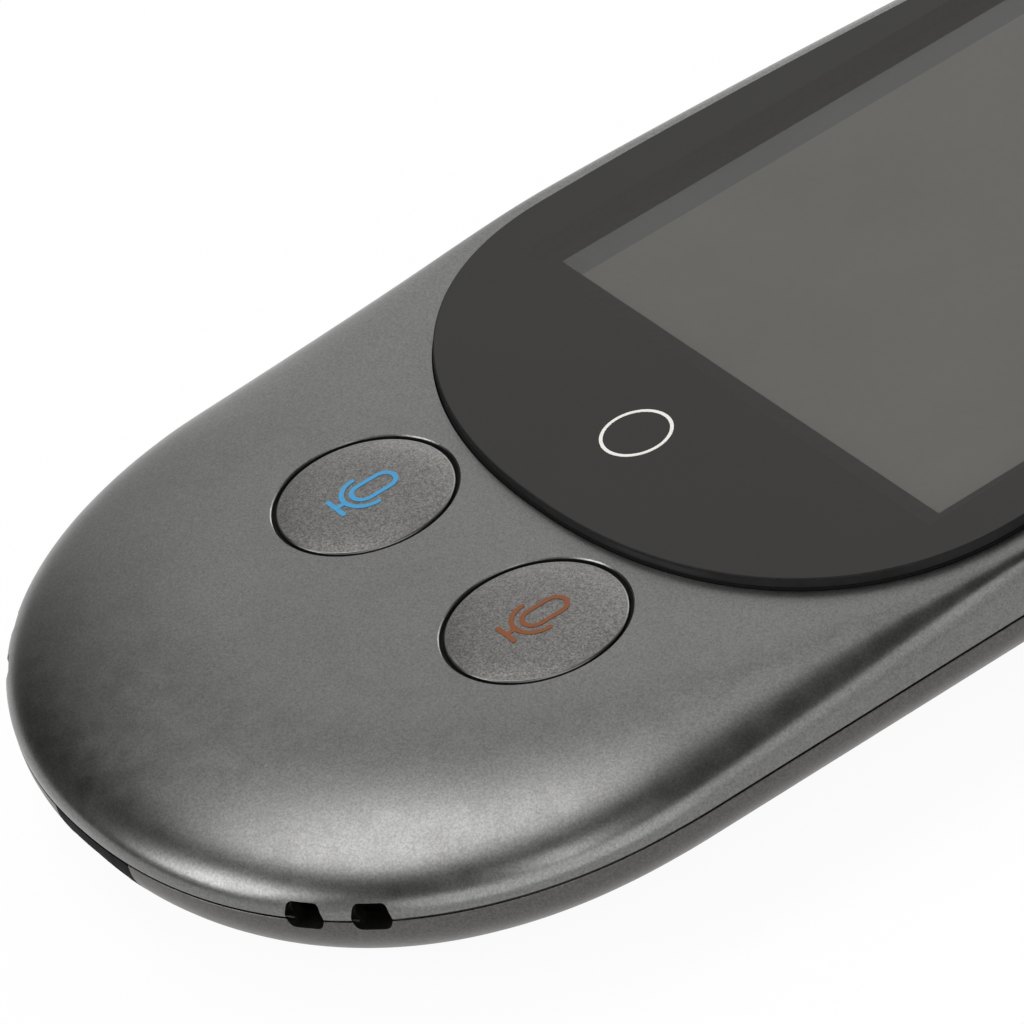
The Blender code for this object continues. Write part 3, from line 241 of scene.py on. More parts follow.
# Finishes of the model's own nodes by material slot: colour, roughness, metallic value, size of the grain
# in millimetres, how much it differs in brightness, its depth in millimetres and how it is squeezed
NODE_FINISHES = {
    "display_panel": ((0.09, 0.09, 0.085), 0.25, 0.0, 0.2, 0.04, 0.01, None),
    "steel": ((0.58, 0.58, 0.56), 0.3, 1.0, 0.5, 0.07, 0.004, (1.0, 8.0, 1.0)),
    "board_green": ((0.012, 0.09, 0.04), 0.4, 0.0, 0.6, 0.15, 0.01, None),
    "black_plastic": ((0.02, 0.02, 0.02), 0.5, 0.0, 0.25, 0.2, 0.01, None),
    "white_plastic": ((0.7, 0.68, 0.62), 0.5, 0.0, 0.25, 0.04, 0.01, None),
    "cell_foil": ((0.45, 0.46, 0.48), 0.35, 0.6, 0.8, 0.06, 0.02, None),
    "black_foam": ((0.03, 0.03, 0.03), 0.95, 0.0, 0.12, 0.4, 0.05, None),
    "amber_film": ((0.45, 0.2, 0.03), 0.3, 0.0, 0.5, 0.12, 0.004, (9.0, 1.0, 1.0)),
    "red_sleeve": ((0.45, 0.02, 0.02), 0.45, 0.0, 0.3, 0.08, 0.01, None),
    "gold_plate": ((0.8, 0.6, 0.25), 0.28, 1.0, 0.3, 0.06, 0.004, None),
}

# Colours of inks, prints and black pieces, and the painted glow of the well round the window
BLUE_INK = (0.05, 0.27, 0.5)
BROWN_INK = (0.19, 0.058, 0.016)
WHITE_INK = (0.75, 0.74, 0.7)
BORDER_BLACK = (0.0348, 0.0335, 0.0326)
# WELL_GLOW is a painted glow: the well round the window is self-lit this even grey in place of the light on the
# glass's border
WELL_GLOW = (0.052, 0.0502, 0.049)
WINDOW_GREY = (0.116, 0.1135, 0.1065)
STRIP_GREY = (0.088, 0.0885, 0.0865)
WELL_BLACK = (0.004, 0.004, 0.004)
# GAP_BLACK, the matt black of gaps and the socket, also paints the shade in the joint round the glass and in the
# key holes, and a dark reflection on the glass's bevel
GAP_BLACK = (0.006, 0.006, 0.006)
SIDE_BLACK = (0.02, 0.02, 0.02)

# The span in which nearly all values of a noise lie
NOISE_SPAN = (0.3, 0.7)

# Floor, and the share of it that glows instead of being lit
FLOOR_RADIUS = 6000 * MM
FLOOR_WHITE = 0.9
FLOOR_GLOW_SHARE = 0.94

# Soft boxes round the object: azimuth, elevation, half width and half height in degrees as the object sees
# them, and radiance, where 1 is a white wall
SOFTBOX_DISTANCE = 4000 * MM
SOFTBOXES = (
    ("left_softbox", -86.0, 64.0, 13.0, 12.0, 4.4),
    ("high_softbox", 71.0, 69.0, 3.0, 12.0, 6.5),
    ("foot_softbox", -25.0, 35.0, 12.0, 14.0, 5.2),
    ("right_wall", 71.0, 24.0, 38.0, 30.0, 1.85),
)

# Pale patches of the surroundings: azimuth, elevation and spread in degrees, and radiance
SURROUNDINGS = 0.01
PATCHES = ((-147.0, 8.0, 31.0, 4.7), (5.0, 12.0, 25.0, 0.8))

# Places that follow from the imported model
SHELL_LOW, SHELL_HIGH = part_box("front_shell")
GLASS_LOW, GLASS_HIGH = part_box("cover_glass")
BODY_HALF_WIDTH = SHELL_HIGH.x
FOOT_Y = SHELL_LOW.y
HEAD_Y = SHELL_HIGH.y
BODY_DEPTH = SHELL_HIGH.z
GLASS_HALF_WIDTH = GLASS_HIGH.x
GLASS_Z = GLASS_LOW.z
GLASS_TOP_Z = GLASS_HIGH.z
WINDOW_HALF_WIDTH = GLASS_HALF_WIDTH - WINDOW_SIDE_BORDER
SPEAKER_Y = HEAD_Y - SPEAKER_FROM_HEAD


def middle(node):
    low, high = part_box(node)
    return (low + high) / 2


TALK_KEYS = ("left_talk_key", "right_talk_key")
KEY_Y = middle(TALK_KEYS[0]).y


def make_camera():
    camera = bpy.data.objects.new("camera", bpy.data.cameras.new("camera"))
    bpy.context.scene.collection.objects.link(camera)
    camera.data.lens = CAMERA_LENS_MM
    camera.data.sensor_width = CAMERA_SENSOR_MM
    camera.data.clip_start = CAMERA_NEAR
    camera.data.clip_end = CAMERA_FAR
    right = CAMERA_LOOK.cross(CAMERA_UP).normalized()
    up = right.cross(CAMERA_LOOK).normalized()
    turn = Matrix((right, up, -CAMERA_LOOK.normalized())).transposed()
    camera.matrix_world = Matrix.Translation(CAMERA_PLACE) @ turn.to_4x4()
    bpy.context.scene.camera = camera


def link(name, mesh, finishes=()):
    item = bpy.data.objects.new(name, mesh)
    bpy.context.scene.collection.objects.link(item)
    for finish in finishes:
        mesh.materials.append(finish)
    return item


def made_from(name, shape, finishes=()):
    """An object with the faces of a bmesh, which is freed."""
    mesh = bpy.data.meshes.new(name)
    shape.to_mesh(mesh)
    shape.free()
    return link(name, mesh, finishes)


def discard(item):
    bpy.data.objects.remove(item, do_unlink=True)


def settle(item):
    """Keep what an object's modifiers make as its own mesh."""
    bpy.context.view_layer.update()
    graph = bpy.context.evaluated_depsgraph_get()
    mesh = bpy.data.meshes.new_from_object(item.evaluated_get(graph))
    item.modifiers.clear()
    item.data = mesh
    return item


def boolean(item, tool, operation="DIFFERENCE"):
    modifier = item.modifiers.new(operation.lower(), "BOOLEAN")
    modifier.operation = operation
    modifier.object = tool
    return item


def cut(item, cutters):
    """Take a list of separate closed cutters out of an object in one go."""
    bpy.context.view_layer.update()
    shape = bmesh.new()
    for cutter in cutters:
        mesh = cutter.data.copy()
        mesh.transform(cutter.matrix_world)
        shape.from_mesh(mesh)
        bpy.data.meshes.remove(mesh)
    tool = made_from("cutters", shape)
    settle(boolean(item, tool))
    for spent in (*cutters, tool):
        discard(spent)


def join_rows(shape, rows):
    """Add the quads between each closed row of points and the next one."""
    for low, high in zip(rows, rows[1:]):
        for i in range(len(low)):
            j = (i + 1) % len(low)
            shape.faces.new((low[i], low[j], high[j], high[i]))


def face_outward(shape):
    bmesh.ops.recalc_face_normals(shape, faces=shape.faces)


def loft(name, levels, finishes=()):
    """A closed solid through loops with equal counts of points, each anticlockwise as seen from above."""
    shape = bmesh.new()
    rows = [[shape.verts.new(point) for point in level] for level in levels]
    join_rows(shape, rows)
    shape.faces.new(reversed(rows[0]))
    shape.faces.new(rows[-1])
    return made_from(name, shape, finishes)


def loft_ring(name, levels, finishes=()):
    """A closed ring through loops with equal counts of points, given in order round its section."""
    shape = bmesh.new()
    rows = [[shape.verts.new(point) for point in level] for level in levels]
    join_rows(shape, rows + rows[:1])
    face_outward(shape)
    return made_from(name, shape, finishes)


def stacked(*levels):
    """Flat loops, each lifted to its height."""
    return [[(x, y, z) for x, y in loop] for loop, z in levels]


def prism(name, loop, low, high, finishes=()):
    return loft(name, stacked((loop, low), (loop, high)), finishes)


def rounded_rectangle(width, length, corner):
    loop = []
    for quarter, (sign_x, sign_y) in enumerate(((1, 1), (-1, 1), (-1, -1), (1, -1))):
        for step in range(CORNER_STEPS + 1):
            angle = QUARTER_TURN * (quarter + step / CORNER_STEPS)
            x = sign_x * (width / 2 - corner) + corner * math.cos(angle)
            y = sign_y * (length / 2 - corner) + corner * math.sin(angle)
            loop.append((x, y))
    return loop


def circle(radius, x, y, steps=KEY_STEPS):
    angles = [2 * HALF_TURN * step / steps for step in range(steps)]
    return [(x + radius * math.cos(angle), y + radius * math.sin(angle)) for angle in angles]


def softened(points, reach):
    """A closed loop through corner points, each corner rounded off from this far before it."""
    loop = []
    for i, point in enumerate(points):
        corner = Vector(point)
        before = corner + (Vector(points[i - 1]) - corner).normalized() * reach
        after = corner + (Vector(points[(i + 1) % len(points)]) - corner).normalized() * reach
        for step in range(SOFT_CORNER_STEPS + 1):
            share = step / SOFT_CORNER_STEPS
            loop.append(before * (1 - share) ** 2 + corner * 2 * share * (1 - share) + after * share**2)
    return loop


def divided(loop, parts):
    """A closed loop with each side cut into this many parts."""
    made = []
    for i, point in enumerate(loop):
        onward = Vector(loop[(i + 1) % len(loop)])
        made += [blend(Vector(point), onward, part / parts) for part in range(parts)]
    return made


def moved(loop, x, y):
    return [(point[0] + x, point[1] + y) for point in loop]


def superellipse(angle, exponent):
    across = math.sin(angle)
    along = math.cos(angle)
    reach = (abs(across) ** exponent + abs(along) ** exponent) ** (-1.0 / exponent)
    return across * reach, along * reach


def egg_side(form, inset_side, inset_foot, inset_head):
    """The right side of an egg outline from its foot to its head, drawn in by the three insets."""
    half_width = form["half_width"] - inset_side
    foot_length = form["foot_length"] - inset_foot
    foot_centre = form["foot_y"] + form["foot_length"]
    head_length = form["head_length"] - inset_head
    head_centre = form["head_y"] - form["head_length"]

    def straight(y):
        past = max(y - form["taper_y"], 0.0) / TAPER_SPAN
        return half_width - form["taper_drop"] * past**TAPER_EXPONENT

    side = []
    for step in range(FOOT_STEPS + 1):
        x_share, y_share = superellipse(QUARTER_TURN * step / FOOT_STEPS, form["foot_exponent"])
        side.append((half_width * x_share, foot_centre - foot_length * y_share))
    for step in range(1, SIDE_STEPS):
        y = foot_centre + (head_centre - foot_centre) * step / SIDE_STEPS
        side.append((straight(y), y))
    for step in range(HEAD_STEPS + 1):
        x_share, y_share = superellipse(QUARTER_TURN * (1 - step / HEAD_STEPS), form["head_exponent"])
        y = head_centre + head_length * y_share
        side.append((straight(y) * x_share, y))
    return side


def even_side(form, inset=0.0):
    return egg_side(form, inset, inset, inset)


def egg_loop(form, inset):
    side = even_side(form, inset)
    return side + [(-x, y) for x, y in reversed(side[1:-1])]


BODY = {
    "half_width": BODY_HALF_WIDTH,
    "foot_y": FOOT_Y,
    "foot_length": FOOT_LENGTH,
    "foot_exponent": FOOT_EXPONENT,
    "taper_y": HEAD_Y - TAPER_FROM_HEAD,
    "taper_drop": TAPER_DROP,
    "head_y": HEAD_Y,
    "head_length": HEAD_LENGTH,
    "head_exponent": HEAD_EXPONENT,
}
GLASS_FORM = {
    "half_width": GLASS_HALF_WIDTH,
    "foot_y": GLASS_LOW.y,
    "foot_length": GLASS_FOOT_LENGTH,
    "foot_exponent": GLASS_FOOT_EXPONENT,
    "taper_y": HEAD_Y - GLASS_TAPER_FROM_HEAD,
    "taper_drop": GLASS_TAPER_DROP,
    "head_y": GLASS_HIGH.y,
    "head_length": GLASS_HEAD_LENGTH,
    "head_exponent": GLASS_HEAD_EXPONENT,
}


def clamped(value):
    return min(max(value, 0.0), 1.0)


def blend(first, last, share):
    return first + (last - first) * share


def eased(y, start, span):
    """How far a place is along a span that starts this far from the foot, with soft ends."""
    share = clamped((y - FOOT_Y - start) / span)
    return share * share * (3.0 - 2.0 * share)


def parting_height(y):
    share = clamped((y - FOOT_Y) / PARTING_SLOPE_LENGTH)
    return BODY_DEPTH - blend(PARTING_DROP_FOOT, PARTING_DROP_SCREEN, share)


def top_edge(y):
    return blend(TOP_EDGE_FOOT, TOP_EDGE_SIDE, eased(y, TOP_EDGE_BLEND_START, TOP_EDGE_BLEND_LENGTH))


def top_fullness(y):
    share = eased(y, TOP_FULLNESS_BLEND_START, TOP_FULLNESS_BLEND_LENGTH)
    return blend(TOP_FULLNESS_FOOT, TOP_FULLNESS_SIDE, share)


def back_sweep(y):
    return blend(BACK_SWEEP_FOOT, BACK_SWEEP_SIDE, eased(y, 0.0, FOOT_LENGTH))


def foot_point(x):
    """The point of the foot's outline at this distance from the middle, and its outward direction."""
    share = (1.0 - (abs(x) / BODY_HALF_WIDTH) ** FOOT_EXPONENT) ** (1.0 / FOOT_EXPONENT)
    y = FOOT_Y + FOOT_LENGTH * (1.0 - share)
    across = (abs(x) / BODY_HALF_WIDTH) ** (FOOT_EXPONENT - 1) / BODY_HALF_WIDTH
    along = share ** (FOOT_EXPONENT - 1) / FOOT_LENGTH
    outward = Vector((math.copysign(across, x), -along)).normalized()
    return Vector((x, y)), outward


def inward(side, i):
    """The way into the body, square to its outline, at one of the outline's points."""
    before = Vector(side[i - 1]) if i else Vector((-side[1][0], side[1][1]))
    along = (Vector(side[min(i + 1, len(side) - 1)]) - before).normalized()
    return Vector((-along.y, along.x))


def drawn_in(share_at, amount_at, head_amount):
    """The body's outline drawn in: square to itself at the foot and sides, shrunk round the head."""
    side = even_side(BODY)
    head_share = share_at(HEAD_Y)
    shrunk = egg_side(BODY, head_share * amount_at(HEAD_Y), 0.0, head_share * head_amount)
    square_count = FOOT_STEPS + SIDE_STEPS
    ring = []
    for i, (x, y) in enumerate(side[:square_count]):
        ring.append(Vector((x, y)) + inward(side, i) * share_at(y) * amount_at(y))
    return ring + [Vector(point) for point in shrunk[square_count:]]


def seam_ring(inset, offset):
    """A ring near the seam, drawn in by a small inset and shifted up or down by an offset."""
    side = even_side(BODY)
    ring = []
    for i, (x, y) in enumerate(side):
        point = Vector((x, y)) + inward(side, i) * inset
        if i == len(side) - 1:
            point = Vector((0.0, y - inset))
        ring.append((point.x, point.y, parting_height(y) + offset))
    return ring


def shell_rings(rings, amount_at, head_amount, height_at, fullness_at):
    """Rings from the seam along a superelliptical section to the flat face."""
    seam = even_side(BODY)
    made = []
    for row in range(rings + 1):
        angle = QUARTER_TURN * row / rings
        out = max(math.cos(angle), 0.0)
        up = max(math.sin(angle), 0.0)
        side = drawn_in(lambda y: 1.0 - out ** (2 / fullness_at(y)), amount_at, head_amount)
        ring = []
        for (x, y), (_, seam_y) in zip(side, seam):
            ring.append((x, y, height_at(seam_y, up ** (2 / fullness_at(seam_y)))))
        made.append(ring)
    return made


def front_height(seam_y, rise):
    return blend(parting_height(seam_y) + SEAM_GAP / 2 + SEAM_LAND, BODY_DEPTH, rise)


def back_height(seam_y, rise):
    return (parting_height(seam_y) - SEAM_GAP / 2 - SEAM_LAND) * (1.0 - rise)


def mirrored(item):
    """Give an object of one side its other side."""
    mirror = item.modifiers.new("mirror", "MIRROR")
    mirror.merge_threshold = MERGE_DISTANCE
    return item


def skin(name, rings, finish, downward=False):
    """An open shell through half rings, closed over its last ring, mirrored and given its wall."""
    shape = bmesh.new()
    rows = [[shape.verts.new(point) for point in ring] for ring in rings]
    for low, high in zip(rows, rows[1:]):
        for i in range(len(low) - 1):
            shape.faces.new((low[i], low[i + 1], high[i + 1], high[i]))
    shape.faces.new(rows[-1])
    if downward:
        bmesh.ops.reverse_faces(shape, faces=shape.faces)
    item = mirrored(made_from(name, shape, [finish]))
    wall = item.modifiers.new("wall", "SOLIDIFY")
    wall.thickness = WALL
    wall.offset = -1.0
    wall.use_even_offset = True
    return settle(item)


def slot_cutters():
    """Rounded slots through both shells at the seam, square to the outline, in a pair each side."""
    cutters = []
    for side in (-1, 1):
        for share in SLOT_PLACE_SHARES:
            point, outward = foot_point(side * share * BODY_HALF_WIDTH)
            loop = softened([(x * MM, y * MM) for x, y in SLOT_OUTLINE_MM], SLOT_CORNER)
            cutter = prism("slot_cutter", loop, -SLOT_REACH, SLOT_REACH)
            place = Matrix.Translation((point.x, point.y, parting_height(point.y)))
            turn = Matrix.Rotation(math.atan2(outward.x, -outward.y), 4, "Z")
            cutter.matrix_world = place @ turn @ Matrix.Rotation(QUARTER_TURN, 4, "X")
            cutters.append(cutter)
    return cutters


def opening_cutter(name, straight, rim):
    """A cutter for an opening in the front shell's face, straight but for a broken rim."""
    low = (straight, BODY_DEPTH - CUT_DEPTH / 2), (straight, BODY_DEPTH - HOLE_EDGE)
    return loft(name, stacked(*low, (rim, BODY_DEPTH), (rim, BODY_DEPTH + OVERRUN)))


def make_front_shell(finish):
    rings = [seam_ring(SEAM_EDGE, SEAM_GAP / 2), seam_ring(0.0, SEAM_GAP / 2 + SEAM_EDGE)]
    rings += shell_rings(TOP_RINGS, top_edge, TOP_EDGE_HEAD, front_height, top_fullness)
    shell = skin("fine_front_shell", rings, finish)
    cutters = slot_cutters()
    recess = egg_loop(GLASS_FORM, -GLASS_GROOVE)
    cutters.append(opening_cutter("glass_recess", recess, egg_loop(GLASS_FORM, -GLASS_GROOVE - HOLE_EDGE)))
    hole = KEY_RADIUS + KEY_CLEARANCE
    for node in TALK_KEYS:
        x, y, _ = middle(node)
        cutters.append(opening_cutter("key_hole", circle(hole, x, y), circle(hole + HOLE_EDGE, x, y)))
    cut(shell, cutters)
    finished(shell, "housing", "shell_paint", "front_shell")


def finished(item, body, slot, *nodes, sharp_degrees=SHARP_DEGREES):
    """Shade a piece, hang it on the body it rides on and hide the nodes it replaces; its slot argument is not
    used.
    """
    item.data.shade_smooth()
    item.data.set_sharp_from_angle(angle=math.radians(sharp_degrees))
    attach(item, body)
    if nodes:
        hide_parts(*nodes)


def lip_body():
    """The ring inside the seam that lines the shells up, rooted in the back shell's wall."""
    seam = even_side(BODY)
    inner = even_side(BODY, LIP_INSET + LIP_THICKNESS)
    outer = even_side(BODY, LIP_INSET)
    root = even_side(BODY, WALL / 2)
    shape = bmesh.new()
    rows = []
    for (_, seam_y), a, b, c in zip(seam, inner, outer, root):
        level = parting_height(seam_y)
        section = [
            (*a, level - LIP_ROOT),
            (*a, level + LIP_RISE),
            (*b, level + LIP_RISE),
            (*b, level - SEAM_GAP - SEAM_LAND),
            (*c, level - SEAM_GAP - SEAM_LAND),
            (*c, level - LIP_ROOT),
        ]
        rows.append([shape.verts.new(point) for point in section])
    join_rows(shape, rows)
    face_outward(shape)
    return settle(mirrored(made_from("lip", shape)))


def side_keys():
    """Each side key's name and frame: X along the key, Y up, Z outward, the origin in the shell's side."""
    keys = []
    for joint in frame["joints"]:
        name = joint["child"]
        if name in TALK_KEYS:
            continue
        outward = -Vector(joint["axis"]).normalized()
        centre = middle(name)
        reach = max(Vector(vertex.co).dot(outward) for vertex in frame["nodes"][name].data.vertices)
        face = centre + outward * (reach - centre.dot(outward))
        turn = Matrix((UP.cross(outward), UP, outward)).transposed().to_4x4()
        keys.append((name, Matrix.Translation(face - outward * SIDE_KEY_STAND) @ turn))
    return keys


def make_back_shell(finish):
    rings = [seam_ring(SEAM_EDGE, -SEAM_GAP / 2), seam_ring(0.0, -SEAM_GAP / 2 - SEAM_EDGE)]
    rings += shell_rings(BACK_RINGS, back_sweep, BACK_SWEEP_HEAD, back_height, lambda y: BACK_FULLNESS)
    shell = skin("fine_back_shell", rings, finish, downward=True)
    lip = lip_body()
    settle(boolean(shell, lip, "UNION"))
    discard(lip)
    cutters = slot_cutters()
    usb_top = parting_height(FOOT_Y) + SEAM_GAP
    usb_loop = rounded_rectangle(USB_SLOT_WIDTH, 2 * USB_SLOT_HEIGHT, USB_SLOT_CORNER)
    usb = prism("usb_cutter", usb_loop, -USB_SLOT_DEPTH, USB_SLOT_DEPTH)
    place = Matrix.Translation((0.0, FOOT_Y, usb_top))
    usb.matrix_world = place @ Matrix.Rotation(QUARTER_TURN, 4, "X")
    cutters.append(usb)
    for slot in range(GRILLE_SLOTS):
        y = SPEAKER_Y + (slot - (GRILLE_SLOTS - 1) / 2) * GRILLE_PITCH
        corner = GRILLE_SLOT_WIDTH * PILL_CORNER_SHARE
        loop = moved(rounded_rectangle(GRILLE_SLOT_LENGTH, GRILLE_SLOT_WIDTH, corner), 0.0, y)
        cutters.append(prism("grille_cutter", loop, -OVERRUN, WALL + OVERRUN))
    for _, place in side_keys():
        height = SIDE_KEY_HEIGHT + 2 * SIDE_KEY_CLEARANCE
        width = SIDE_KEY_LENGTH + 2 * SIDE_KEY_CLEARANCE
        narrow = rounded_rectangle(width, height, SIDE_KEY_HEIGHT * PILL_CORNER_SHARE)
        wide = rounded_rectangle(width + 2 * SIDE_KEY_EAR, height, SIDE_KEY_EDGE)
        levels = (wide, -CUT_DEPTH), (wide, -SIDE_KEY_WALL), (narrow, -SIDE_KEY_WALL), (narrow, OVERRUN)
        cutter = loft("side_key_cutter", stacked(*levels))
        cutter.matrix_world = place
        cutters.append(cutter)
    cut(shell, cutters)
    finished(shell, "housing", "back_paint", "back_shell")


def rounded_levels(outline, low, high, edge):
    """The levels of a plate whose upper and lower rims are rounded; outline gives the loop for an inset."""
    lower = []
    upper = []
    for step in range(EDGE_STEPS + 1):
        angle = QUARTER_TURN * step / EDGE_STEPS
        in_by_sine = edge * (1.0 - math.sin(angle))
        in_by_cosine = edge * (1.0 - math.cos(angle))
        lower.append((outline(in_by_sine), low + in_by_cosine))
        upper.append((outline(in_by_cosine), high - in_by_sine))
    return stacked(*lower, *upper)


def at_level(place, z):
    return abs(place.z - z) < MERGE_DISTANCE


def inside(place, box, slack=0.0):
    """Whether a place lies in a box of x and y, give or take some slack."""
    return all(low - slack < value < high + slack for value, (low, high) in zip(place, box))


def is_level(face):
    return abs(face.normal.z) > LEVEL_NORMAL


def split_level(shape, z, box, extra_x=()):
    """Cut the flat faces of a mesh at one height along the sides of a box of x and y."""
    (low_x, high_x), (low_y, high_y) = box
    planes = [((0.0, y, 0.0), (0.0, 1.0, 0.0)) for y in (low_y, high_y)]
    planes += [((x, 0.0, 0.0), (1.0, 0.0, 0.0)) for x in (low_x, high_x, *extra_x)]
    for point, normal in planes:
        level = [face for face in shape.faces if at_level(face.calc_center_median(), z)]
        parts = set(level)
        for face in level:
            parts.update(face.edges, face.verts)
        parts = list(parts)
        bmesh.ops.bisect_plane(shape, geom=parts, dist=MERGE_DISTANCE, plane_co=point, plane_no=normal)


def sink_well(shape, box, floor_z):
    """Replace the part of the glass's face inside a box of x and y by walls and a floor at a height."""
    split_level(shape, GLASS_TOP_Z, box)
    centres = [(face, face.calc_center_median()) for face in shape.faces]
    lid = next(face for face, centre in centres if at_level(centre, GLASS_TOP_Z) and inside(centre, box))
    rim = list(lid.verts)
    floor = [shape.verts.new((corner.co.x, corner.co.y, floor_z)) for corner in rim]
    shape.faces.remove(lid)
    join_rows(shape, [floor, rim])
    shape.faces.new(floor)


def make_cover_glass(finishes, clear):
    """Black glass with a clear pane over the window, which lies at its back with a darker left strip."""
    side, edge, border, well, window, strip = range(len(finishes))
    levels = rounded_levels(lambda inset: egg_loop(GLASS_FORM, inset), GLASS_Z, GLASS_TOP_Z, GLASS_EDGE)
    glass = loft("fine_cover_glass", levels, finishes)
    shape = bmesh.new()
    shape.from_mesh(glass.data)
    foot = FOOT_Y + WINDOW_FROM_END
    head = HEAD_Y - WINDOW_FROM_HEAD
    reach = WINDOW_HALF_WIDTH + CLEAR_MARGIN
    strip_x = -WINDOW_HALF_WIDTH + WINDOW_STRIP
    window_box = ((-WINDOW_HALF_WIDTH, WINDOW_HALF_WIDTH), (foot, head))
    clear_box = ((-reach, reach), (foot - CLEAR_MARGIN, head + CLEAR_MARGIN))
    floor_z = GLASS_Z + WINDOW_BACKING
    sink_well(shape, clear_box, floor_z)
    split_level(shape, floor_z, window_box, (strip_x,))
    face_outward(shape)
    for face in shape.faces:
        place = face.calc_center_median()
        face.material_index = border if is_level(face) else side
        # The bevel takes the darker edge finish, a painted dark reflection line
        if place.z > GLASS_TOP_Z - GLASS_EDGE and not is_level(face):
            face.material_index = edge
        # The well's walls and margin take its print with the painted glow
        if GLASS_Z + MERGE_DISTANCE < place.z < GLASS_TOP_Z - MERGE_DISTANCE:
            if inside(place, clear_box, MERGE_DISTANCE):
                face.material_index = well
        if at_level(place, floor_z) and inside(place, window_box):
            face.material_index = strip if place.x < strip_x else window
    shape.to_mesh(glass.data)
    shape.free()
    finished(glass, "housing", "black_glass", "cover_glass", sharp_degrees=ROUND_RIM_DEGREES)
    for polygon in glass.data.polygons:
        if is_level(polygon):
            polygon.use_smooth = False
    width = 2 * reach - PANE_CLEARANCE
    length = head - foot + 2 * CLEAR_MARGIN - PANE_CLEARANCE
    loop = moved(rounded_rectangle(width, length, PANE_CORNER), 0.0, (foot + head) / 2)
    pane = prism("window_pane", loop, GLASS_TOP_Z - PANE_THICKNESS, GLASS_TOP_Z, [clear])
    finished(pane, "housing", "black_glass")


def make_glass_joint_shade(finish):
    """The thin black bead round the glass: the dark joint there, with the shade in it painted in black."""
    low = BODY_DEPTH - JOINT_SHADE_DEPTH
    high = BODY_DEPTH + JOINT_SHADE_STAND
    outer = egg_loop(GLASS_FORM, -JOINT_SHADE_WIDTH)
    inner = egg_loop(GLASS_FORM, JOINT_SHADE_OVERLAP)
    levels = stacked((inner, low), (outer, low), (outer, high), (inner, high))
    finished(loft_ring("glass_joint_shade", levels, [finish]), "housing", "black_plastic")


def make_key_seal(node, finish):
    """The dark dust ring in the gap round a talk key, with a thin black wall that lines the hole: partly the
    hole's own dark wall, partly the shade in the gap painted black.
    """
    x, y, _ = middle(node)
    high = BODY_DEPTH - SEAL_DROP
    low = high - SEAL_THICKNESS
    rise = BODY_DEPTH - SEAL_SHADE_LINING_DROP
    inner = circle(KEY_RADIUS + SEAL_CLEARANCE, x, y)
    # The lining's black is partly painted shade in the gap
    wall = circle(KEY_RADIUS + KEY_CLEARANCE - SEAL_SHADE_LINING, x, y)
    outer = circle(KEY_RADIUS + KEY_CLEARANCE, x, y)
    levels = stacked((inner, low), (outer, low), (outer, rise), (wall, rise), (wall, high), (inner, high))
    name = node.replace("talk_key", "key_seal")
    finished(loft_ring(name, levels, [finish]), "housing", "black_plastic")


def make_port_frame(finish):
    """The black frame that fills the charging cut-out round the socket's mouth, along the shell's sweep."""
    top = parting_height(FOOT_Y) - SEAM_GAP / 2
    low = parting_height(FOOT_Y) + SEAM_GAP - USB_SLOT_HEIGHT + PORT_CLEARANCE
    high = top - PORT_CLEARANCE
    half_width = USB_SLOT_WIDTH / 2 - PORT_CLEARANCE
    socket = middle("usb_socket_shell")
    outer = rounded_rectangle(2 * half_width, high - low, USB_SLOT_CORNER / 2)
    outer = divided(moved(outer, 0.0, (low + high) / 2), PORT_SIDE_PARTS)
    mouth = rounded_rectangle(PORT_MOUTH_WIDTH, PORT_MOUTH_HEIGHT, PORT_MOUTH_CORNER)
    mouth = divided(moved(mouth, 0.0, socket.z), PORT_SIDE_PARTS)
    back = FOOT_Y + PORT_BACK

    def surface(x, z):
        point, _ = foot_point(x)
        section_top = top - SEAM_LAND
        rise = clamped(1.0 - z / section_top)
        swept = point.y + back_sweep(point.y) * (1.0 - math.cos(math.asin(rise)))
        return min(swept, back - PORT_LAND)

    levels = []
    for row in range(PORT_ROWS + 1):
        share = row / PORT_ROWS
        loop = [blend(Vector(out), Vector(near), share) for out, near in zip(outer, mouth)]
        levels.append([(x, surface(x, z), z) for x, z in loop])
    levels += [[(x, back, z) for x, z in mouth], [(x, back, z) for x, z in outer]]
    finished(loft_ring("port_frame", levels, [finish]), "housing", "black_plastic")


def crown_height(top, radius):
    rim = KEY_RADIUS - KEY_EDGE
    return top + KEY_CROWN * (1.0 - min(radius / rim, 1.0) ** KEY_CROWN_EXPONENT)


